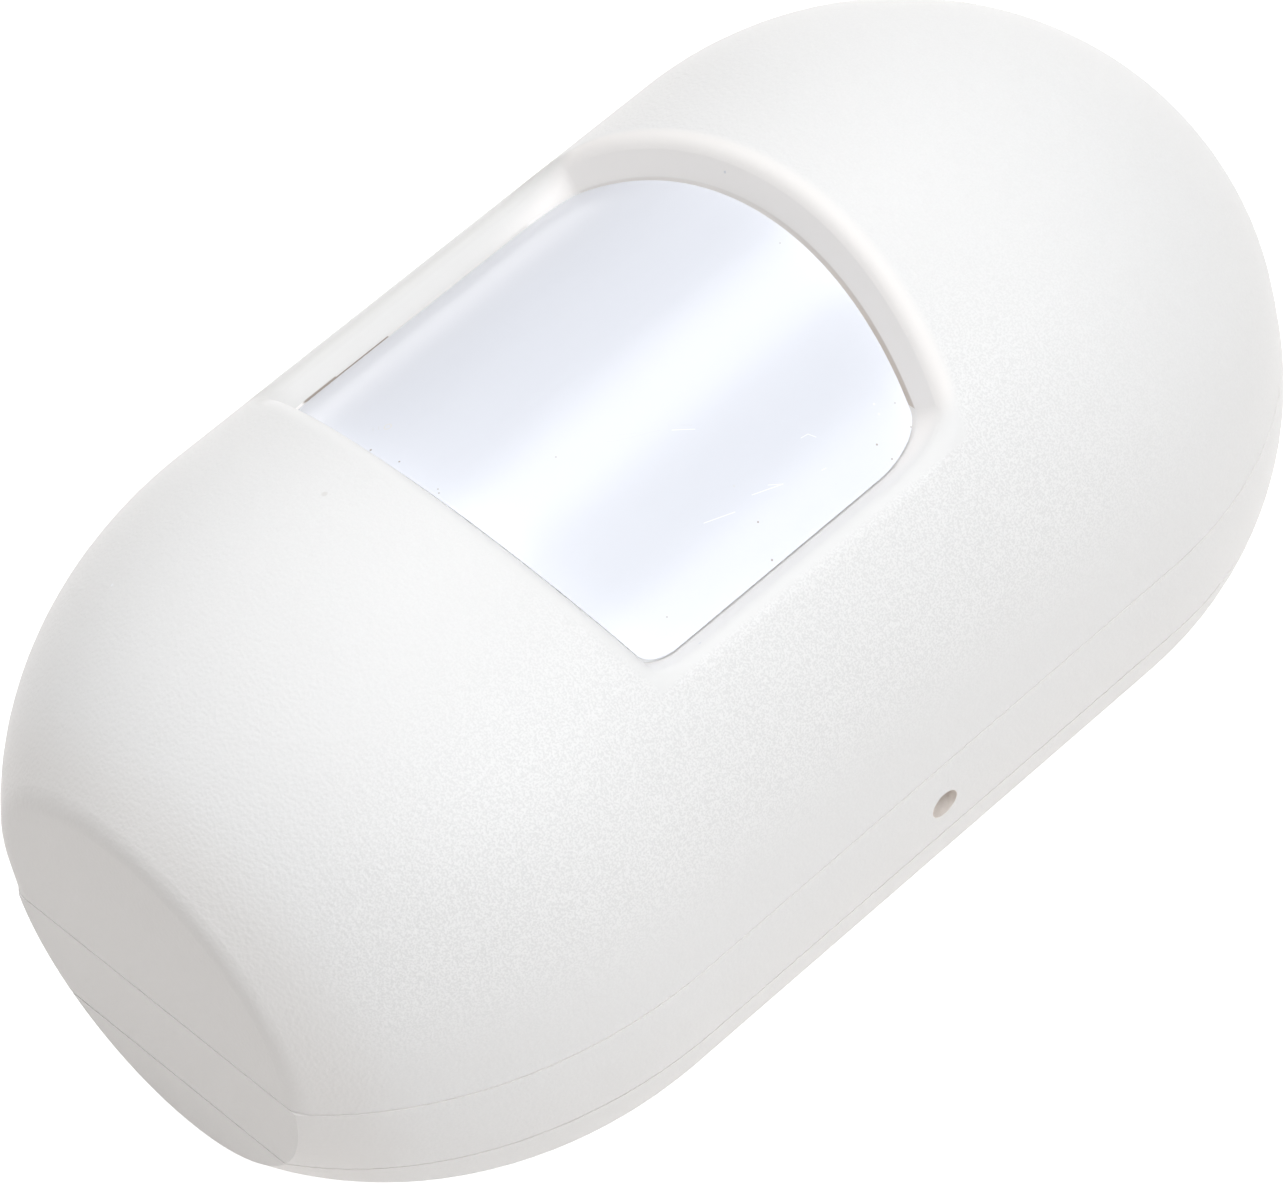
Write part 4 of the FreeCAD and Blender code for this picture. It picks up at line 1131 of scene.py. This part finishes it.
@dataclass
class CellFittings:
    """Insulating washer at the cell's raised end, and the spring contact at its flat end."""

    washer_finish: PlainFinish = PlainFinish("fibre_washer", (0.78, 0.76, 0.70), 0.8, grain=0.2 * MM)
    axis: Vector = field(default_factory=lambda: Vector((0.0, -29 * MM, 24.25 * MM)))
    face: float = 17.0 * MM
    outer_radius: float = 7.3 * MM
    rim: float = 3.4 * MM
    thickness: float = 0.22 * MM
    plate_round: float = 0.9 * MM
    plate_thickness: float = 0.5 * MM
    coil_radius: float = 3.3 * MM
    coil_taper: float = 1.5 * MM
    coil_turns: int = 3
    coil_steps: int = 28
    wire: float = 0.24 * MM
    wire_sides: int = 10

    def washer(self) -> bpy.types.Object:
        """Flat ring round the raised contact."""
        centre = (self.face + 0.5 * self.thickness, self.axis.y, self.axis.z)
        piece = begin("cell_washer", bpy.ops.mesh.primitive_cylinder_add, vertices=64,
                      radius=self.outer_radius, depth=self.thickness, location=centre,
                      rotation=(0.0, math.radians(90), 0.0))
        bpy.ops.object.transform_apply(location=True, rotation=True, scale=True)
        bpy.ops.object.mode_set(mode="EDIT")
        pick(piece, "FACE", lambda face: abs(face.normal.x) > 0.9)
        bpy.ops.mesh.inset(thickness=self.rim, depth=0.0, use_individual=True)
        bpy.ops.mesh.bridge_edge_loops()
        bpy.ops.mesh.select_all(action="SELECT")
        bpy.ops.mesh.normals_make_consistent(inside=False)
        bpy.ops.object.mode_set(mode="OBJECT")
        return piece

    def plate(self, low: Vector, high: Vector) -> bpy.types.Object:
        """Sprung plate with rounded upper corners.

        Args:
            low: lowest corner of the contact.
            high: its highest corner.

        Returns:
            The plate.
        """
        size = Vector((self.plate_thickness, high.y - low.y, high.z - low.z))
        middle = 0.5 * (low + high)
        piece = begin("spring_contact", bpy.ops.mesh.primitive_cube_add, size=1.0,
                      location=(low.x + 0.5 * size.x, middle.y, middle.z))
        piece.scale = size
        bpy.ops.object.transform_apply(location=True, rotation=True, scale=True)
        bpy.ops.object.mode_set(mode="EDIT")
        pick(piece, "EDGE", lambda edge: min(vert.co.z for vert in edge.verts) > middle.z
             and abs(edge.verts[0].co.x - edge.verts[1].co.x) > 0.5 * size.x)
        bpy.ops.mesh.bevel(offset=self.plate_round, segments=5, affect="EDGES")
        bpy.ops.object.mode_set(mode="OBJECT")
        return piece

    def coil(self, start: float, end: float) -> bpy.types.Object:
        """Cone-shaped coil that stands on the plate.

        Args:
            start: place of its wide end across the case.
            end: place of its narrow end.

        Returns:
            The coil.
        """
        piece = begin("coil", bpy.ops.mesh.primitive_circle_add, vertices=self.wire_sides,
                      radius=self.wire, location=(0.0, self.coil_radius, 0.0))
        bpy.ops.object.transform_apply(location=True, rotation=True, scale=True)
        wind = piece.modifiers.new("wind", "SCREW")
        wind.axis = "X"
        wind.iterations = self.coil_turns
        wind.steps = wind.render_steps = self.coil_steps
        wind.screw_offset = (end - start - 2 * self.wire) / self.coil_turns
        bpy.ops.object.modifier_apply(modifier=wind.name)
        bpy.ops.object.mode_set(mode="EDIT")
        rings = self.coil_turns * self.coil_steps + 1
        for ring in range(1, rings):
            pick(piece, "VERT", lambda vert: vert.index // self.wire_sides == ring)
            taken = [vert.co for vert in bmesh.from_edit_mesh(piece.data).verts if vert.select]
            middle = sum(taken, Vector()) / len(taken)
            inwards = -Vector((0.0, middle.y, middle.z)).normalized() * self.coil_taper * ring / rings
            bpy.ops.transform.translate(value=inwards)
        bpy.ops.mesh.select_mode(type="EDGE")
        bpy.ops.mesh.select_all(action="DESELECT")
        bpy.ops.mesh.select_non_manifold()
        bpy.ops.mesh.edge_face_add()
        bpy.ops.mesh.select_all(action="SELECT")
        bpy.ops.mesh.normals_make_consistent(inside=False)
        bpy.ops.transform.translate(value=(start + self.wire, self.axis.y, self.axis.z))
        bpy.ops.object.mode_set(mode="OBJECT")
        return piece

    def build(self) -> list[str]:
        """Model and dress the washer and the spring contact."""
        washer = settle(self.washer(), self.washer_finish.build())
        low, high = (Vector(corner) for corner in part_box("negative_contact"))
        plate = self.plate(low, high)
        coil = self.coil(low.x + self.plate_thickness - 0.5 * self.wire, high.x)
        bpy.ops.object.select_all(action="DESELECT")
        plate.select_set(True)
        coil.select_set(True)
        bpy.context.view_layer.objects.active = plate
        bpy.ops.object.join()
        settle(plate, HIDDEN_FINISHES["contact_metal"].build())
        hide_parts("negative_contact")
        return [washer.name, plate.name]


def main() -> None:
    """Build the studio and the object."""
    logging.basicConfig(level=logging.INFO, format="%(name)s: %(message)s")
    Studio().build()
    for assembly in (CaseShell(), LensWindow(), HiddenPieces(), PartingSeam(), SolderJoints(),
                     ChipTerminals(), CellFittings()):
        for piece in assembly.build():
            log.info("%s: %s", type(assembly).__name__, piece)


if __name__ == "__main__":
    main()
